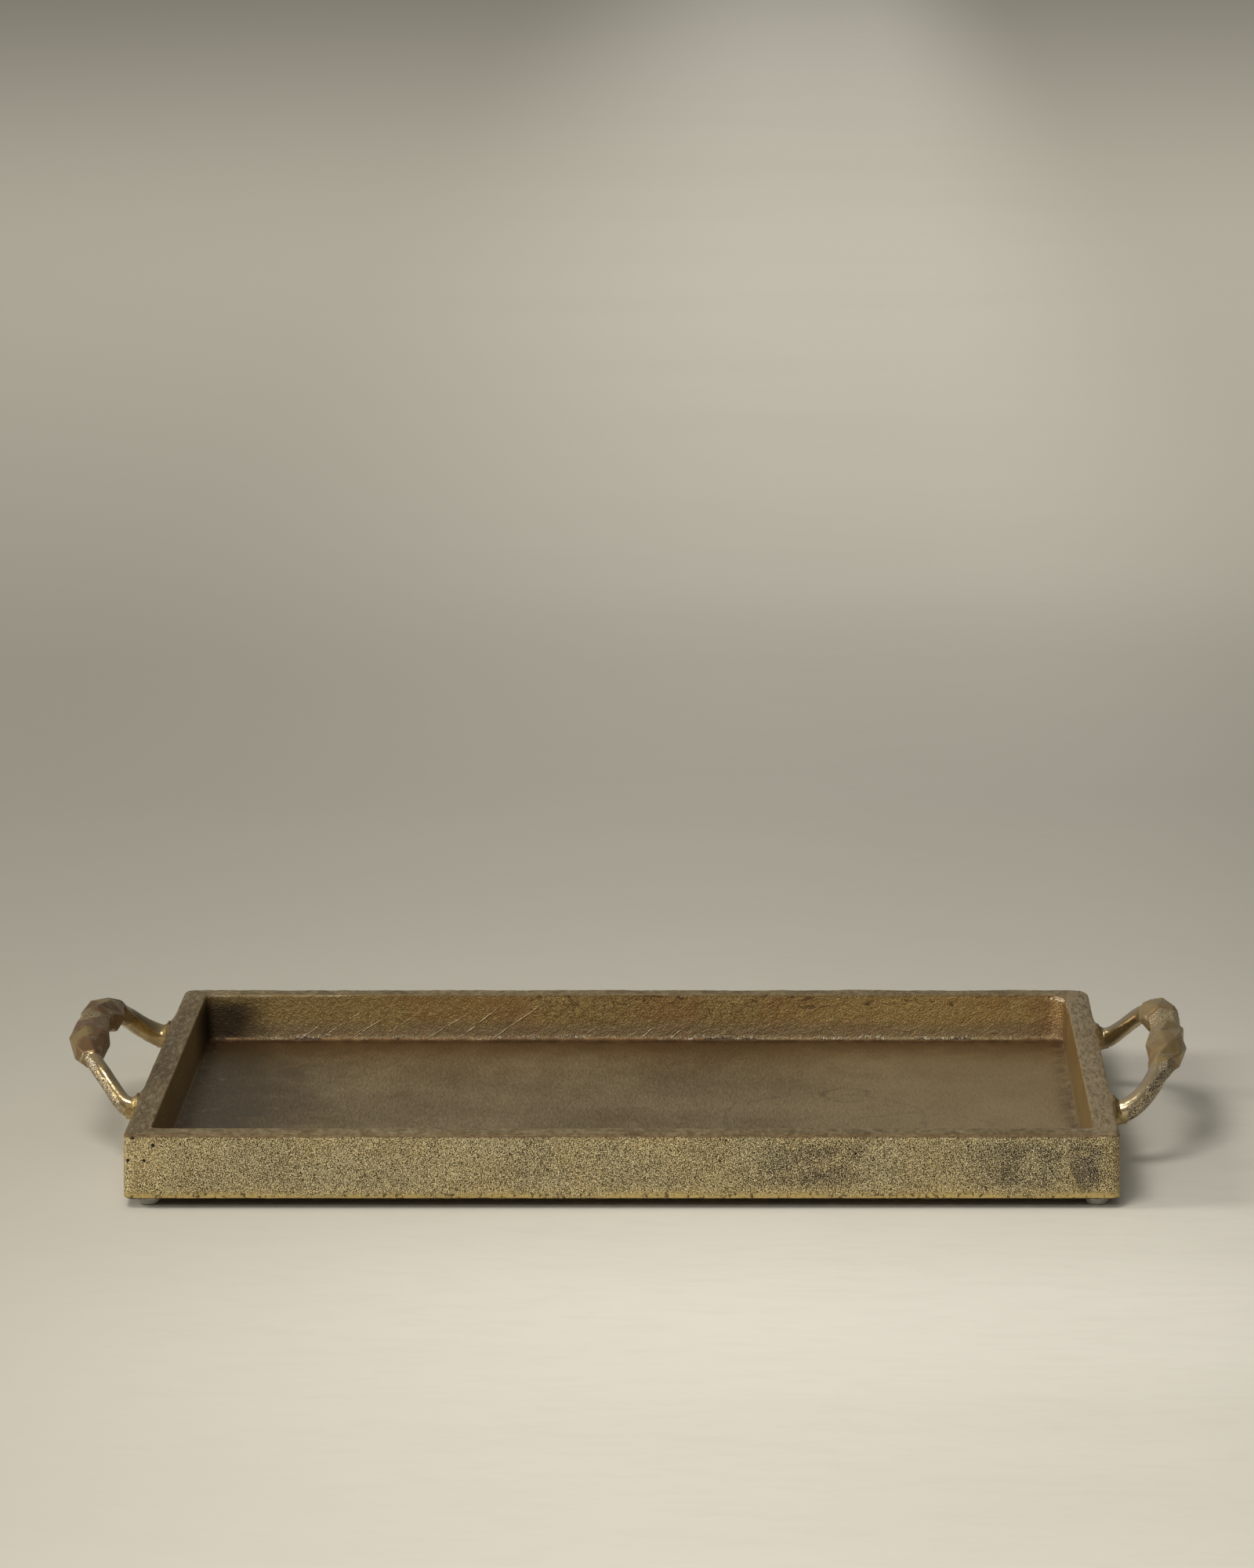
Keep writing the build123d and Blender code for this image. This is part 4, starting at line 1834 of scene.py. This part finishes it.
@dataclass
class BrazeFillet:
    """Filler metal between a handle's root and the end wall, ground flush with the rim."""

    wall_x: float
    rim_z: float
    draft: float = math.radians(1.0)
    stretch: float = 2.1
    edge_softness: float = 0.7 * MM
    sides: int = 48

    def build(self, name: str, end: End, root: Station, flare: float) -> bpy.types.Object:
        """Model one fillet from rings round the leg's root, and cut it flush with the rim.

        Args:
            name: the piece's name.
            end: which end of the tray it is on.
            root: the leg's section at the wall, without the flare.
            flare: how far the fillet spreads on the wall, in millimetres.

        Returns:
            The fillet's mesh object.
        """
        outward = Vector((math.cos(self.draft), 0, math.sin(self.draft)))
        across = Vector((0, 1, 0))
        lean = Matrix((across, outward.cross(across), outward)).transposed()
        start = Vector((
            self.wall_x,
            -root.run * MM,
            self.rim_z + root.rise * MM,
        ))
        steps = 9
        rings = [(-1.5, flare + 0.2)]
        for step in range(steps + 1):
            angle = math.pi / 2 * step / steps
            rings.append((self.stretch * flare * (1 - math.cos(angle)),
                          (flare + 0.2) * (1 - math.sin(angle)) - 0.2))
        put_down_all()
        piece = bpy.data.objects.new(name, bpy.data.meshes.new(name))
        bpy.context.scene.collection.objects.link(piece)
        edit(piece)
        for reach, spread in rings:
            add_ring(start + outward * reach * MM, lean, (root.half_width + spread) * MM,
                     (root.half_height + spread) * MM, self.sides)
        join_rings(piece, len(rings), self.sides)
        bpy.ops.mesh.select_all(action="SELECT")
        if end is End.LEFT:
            bpy.ops.transform.rotate(
                value=math.pi, orient_axis="Z", orient_type="GLOBAL", center_override=(0, 0, 0))
        bpy.ops.mesh.normals_make_consistent(inside=False)
        put_down_all()
        smooth_out = piece.modifiers.new("rounding", "SUBSURF")
        smooth_out.levels = 1
        smooth_out.render_levels = 1
        apply_modifiers(piece)
        roughen(piece, 5 * MM, 0.35 * MM)
        edit(piece)
        bpy.ops.mesh.select_all(action="SELECT")
        bpy.ops.mesh.bisect(
            plane_co=(0, 0, self.rim_z - 0.05 * MM), plane_no=(0, 0, 1),
            use_fill=True, clear_outer=True)
        put_down_all()
        easing = piece.modifiers.new("easing", "BEVEL")
        easing.width = self.edge_softness
        easing.segments = 3
        easing.limit_method = "ANGLE"
        easing.angle_limit = math.radians(28)
        apply_modifiers(piece)
        smooth(piece, 50)
        return piece


# ---------------------------------------------------------------------------------------
# Feet
# ---------------------------------------------------------------------------------------
@dataclass
class BumperFoot:
    """A clear bumper foot: short barrel with a well rounded lower edge and a small sole."""

    node: str
    edge_round: float = 3.0 * MM
    top_round: float = 0.4 * MM
    sides: int = 48
    steps: int = 8

    def build(self) -> bpy.types.Object:
        """Model the foot from its sole upwards, ring by ring.

        Returns:
            The foot's mesh object.
        """
        low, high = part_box(self.node)
        middle = (low + high) / 2
        radius = (high.x - low.x) / 2
        tall = high.z - low.z
        outline = []
        for step in range(self.steps + 1):
            angle = math.pi / 2 * step / self.steps
            outline.append((radius - self.edge_round * (1 - math.sin(angle)),
                            self.edge_round * (1 - math.cos(angle))))
        outline.append((radius, tall - self.top_round))
        outline.append((radius - self.top_round * 0.3, tall - self.top_round * 0.3))
        outline.append((radius - self.top_round, tall))
        put_down_all()
        bpy.ops.mesh.primitive_circle_add(
            vertices=self.sides, radius=outline[0][0], fill_type="NGON",
            location=(middle.x, middle.y, low.z))
        piece = bpy.context.active_object
        piece.name = f"{self.node}_bumper"
        edit(piece)
        bpy.ops.mesh.select_all(action="SELECT")
        centre = (middle.x, middle.y, 0)
        for (was, base), (now, top) in zip(outline, outline[1:]):
            bpy.ops.mesh.extrude_region_move(
                TRANSFORM_OT_translate={"value": (0, 0, top - base)})
            bpy.ops.transform.resize(value=(now / was, now / was, 1), center_override=centre)
        bpy.ops.mesh.select_all(action="SELECT")
        bpy.ops.mesh.normals_make_consistent(inside=False)
        put_down_all()
        piece.data.transform(piece.matrix_world)
        piece.matrix_world = Matrix.Identity(4)
        smooth(piece, 50)
        return piece


# ---------------------------------------------------------------------------------------
# Studio
# ---------------------------------------------------------------------------------------
@dataclass(frozen=True)
class Lamp:
    """One soft area light: where it hangs, its width and height, its power and its aim."""

    name: str
    place: tuple[float, float, float]
    size: tuple[float, float]
    watts: float
    aim: tuple[float, float, float] = (0.0, 0.0, 0.0)


@dataclass
class Studio:
    """Pale floor, soft light and the camera."""

    floor_size: float = 60.0
    lens: float = 126.1
    eye: Vector = field(default_factory=lambda: Vector((0.0784, -2.8672, 0.7932)))
    pitch_down: float = math.radians(11.87)
    shift: float = -0.0942
    horizon_glow: float = 0.23
    ceiling_glow: float = 0.36
    lit_side: float = 1.1
    shade_side: float = 0.40
    room_colour: str = "#F6F4EE"
    lamp_colour: str = "#FFFDF9"
    lamps: tuple[Lamp, ...] = (
        Lamp("key", (-5.0, -0.5, 2.4), (1.6, 1.6), 135.0),
        Lamp("overhead", (-0.55, -1.15, 1.9), (0.8, 0.6), 20.0, (0.0, -0.6, 0.0)),
        Lamp("front_fill", (-0.2, -1.75, 1.15), (1.0, 0.5), 8.0),
        Lamp("near_backdrop", (1.1, 1.5, 1.6), (2.4, 0.6), 18.0, (1.1, 5.5, 0.0)),
        Lamp("far_backdrop", (0.4, 3.2, 4.0), (5.0, 1.0), 175.0, (0.4, 12.0, 0.0)),
    )

    def lay_floor(self) -> None:
        """Add the floor."""
        put_down_all()
        bpy.ops.mesh.primitive_plane_add(size=self.floor_size, location=(0, 0, 0))
        floor = bpy.context.active_object
        floor.name = "studio_floor"
        floor.data.materials.append(PaleFloor().paint())

    def hang_light(self, lamp: Lamp) -> None:
        """Add one soft area light.

        Args:
            lamp: what it is and where.
        """
        data = bpy.data.lights.new(lamp.name, "AREA")
        data.shape = "RECTANGLE"
        data.size, data.size_y = lamp.size
        data.energy = lamp.watts
        data.color = tone(self.lamp_colour)[:3]
        light = bpy.data.objects.new(lamp.name, data)
        bpy.context.scene.collection.objects.link(light)
        light.location = lamp.place
        way = Vector(lamp.aim) - Vector(lamp.place)
        light.rotation_euler = way.to_track_quat("-Z", "Y").to_euler()
        light.visible_camera = False

    def light(self) -> None:
        """Add the key light from the left, two softer ones and the backdrop's two."""
        for lamp in self.lamps:
            self.hang_light(lamp)

    def ramp(self, way: bpy.types.Node, axis: str, ends: Sequence[float], glow: Sequence[float]) -> Socket:
        """Smooth step along one axis of the room.

        Args:
            way: the node that splits the direction of view.
            axis: X, Y or Z.
            ends: component of the direction where the step begins and is done.
            glow: brightness at those ends.

        Returns:
            The brightness.
        """
        tree = way.id_data
        node = tree.nodes.new("ShaderNodeMapRange")
        node.interpolation_type = "SMOOTHSTEP"
        tree.links.new(way.outputs[axis], node.inputs["Value"])
        for name, value in zip(("From Min", "From Max", "To Min", "To Max"), (*ends, *glow)):
            node.inputs[name].default_value = value
        return node.outputs[0]

    def glow(self) -> None:
        """Give the room its even glow, brighter on the left and overhead."""
        world = bpy.data.worlds.new("room")
        world.use_nodes = True
        tree = world.node_tree
        backdrop = tree.nodes["Background"]
        backdrop.inputs["Color"].default_value = tone(self.room_colour)
        way = tree.nodes.new("ShaderNodeSeparateXYZ")
        tree.links.new(tree.nodes.new("ShaderNodeTexCoord").outputs["Generated"], way.inputs[0])
        both = tree.nodes.new("ShaderNodeMath")
        both.operation = "MULTIPLY"
        rise = self.ramp(way, "Z", (0.0, 0.8), (self.horizon_glow, self.ceiling_glow))
        side = self.ramp(way, "X", (-0.3, 0.9), (self.lit_side, self.shade_side))
        tree.links.new(rise, both.inputs[0])
        tree.links.new(side, both.inputs[1])
        tree.links.new(both.outputs[0], backdrop.inputs["Strength"])
        bpy.context.scene.world = world
        bpy.context.scene.view_settings.view_transform = "Standard"

    def place_camera(self) -> None:
        """Add the camera and make it the scene's."""
        data = bpy.data.cameras.new("view")
        data.sensor_fit = "AUTO"
        data.sensor_width = 36.0
        data.lens = self.lens
        data.shift_x = self.shift
        data.clip_end = 100.0
        camera = bpy.data.objects.new("view", data)
        bpy.context.scene.collection.objects.link(camera)
        camera.location = self.eye
        camera.rotation_euler = (math.pi / 2 - self.pitch_down, 0, 0)
        bpy.context.scene.camera = camera


# ---------------------------------------------------------------------------------------
# Assembly
# ---------------------------------------------------------------------------------------
def build_handles(casting: TrayCasting) -> None:
    """Build both handles and the four runs of braze metal at their roots.

    Args:
        casting: the tray they are fixed to.
    """
    maker = TwigHandle(casting.rim_half.x, casting.high.z)
    finish = TwigBrass().paint()
    right = maker.build()
    left = maker.copy_to(right, "handle_left_twig")
    for piece, node in ((right, "handle_right"), (left, "handle_left")):
        maker.weather(piece)
        piece.data.materials.append(finish)
        hand_over(piece, [node])

    filler = BrazeFillet(casting.high.x + 0.5 * casting.root_bulge, casting.high.z)
    filler_finish = BrazeBrass(rim_z=casting.high.z).paint()
    straight = Station(0, -73.4, -8.1, 4.75, 5.75)
    curved = Station(0, 79.0, -8.6, 5.2, 6.1)
    for node, end, root, flare in (
        ("braze_right_rear", End.RIGHT, straight, 3.0),
        ("braze_right_front", End.RIGHT, curved, 3.3),
        ("braze_left_front", End.LEFT, straight, 3.0),
        ("braze_left_rear", End.LEFT, curved, 3.3),
    ):
        piece = filler.build(f"{node}_fillet", end, root, flare)
        piece.data.materials.append(filler_finish)
        hand_over(piece, [node])


def build_feet() -> None:
    """Build the four feet and dress the adhesive discs above them."""
    bumper = ClearBumper().paint()
    film = AdhesiveFilm().paint()
    for corner in ("front_left", "front_right", "rear_left", "rear_right"):
        piece = BumperFoot(f"foot_{corner}").build()
        piece.data.materials.append(bumper)
        hand_over(piece, [f"foot_{corner}"])
        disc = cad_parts[f"adhesive_{corner}"]
        disc.data.materials.clear()
        disc.data.materials.append(film)
        LOG.info("%s: kept from the frame", disc.name)


def main() -> None:
    """Build the tray, its handles and feet, and the studio round them."""
    studio = Studio()
    studio.place_camera()
    studio.light()
    studio.glow()
    studio.lay_floor()
    casting = TrayCasting()
    tray = casting.build()
    casting.dress(tray)
    hand_over(tray, ["tray_body"])
    build_handles(casting)
    build_feet()
    put_down_all()
    bpy.context.view_layer.update()


if __name__ == "__main__":
    logging.basicConfig(level=logging.INFO)
    main()
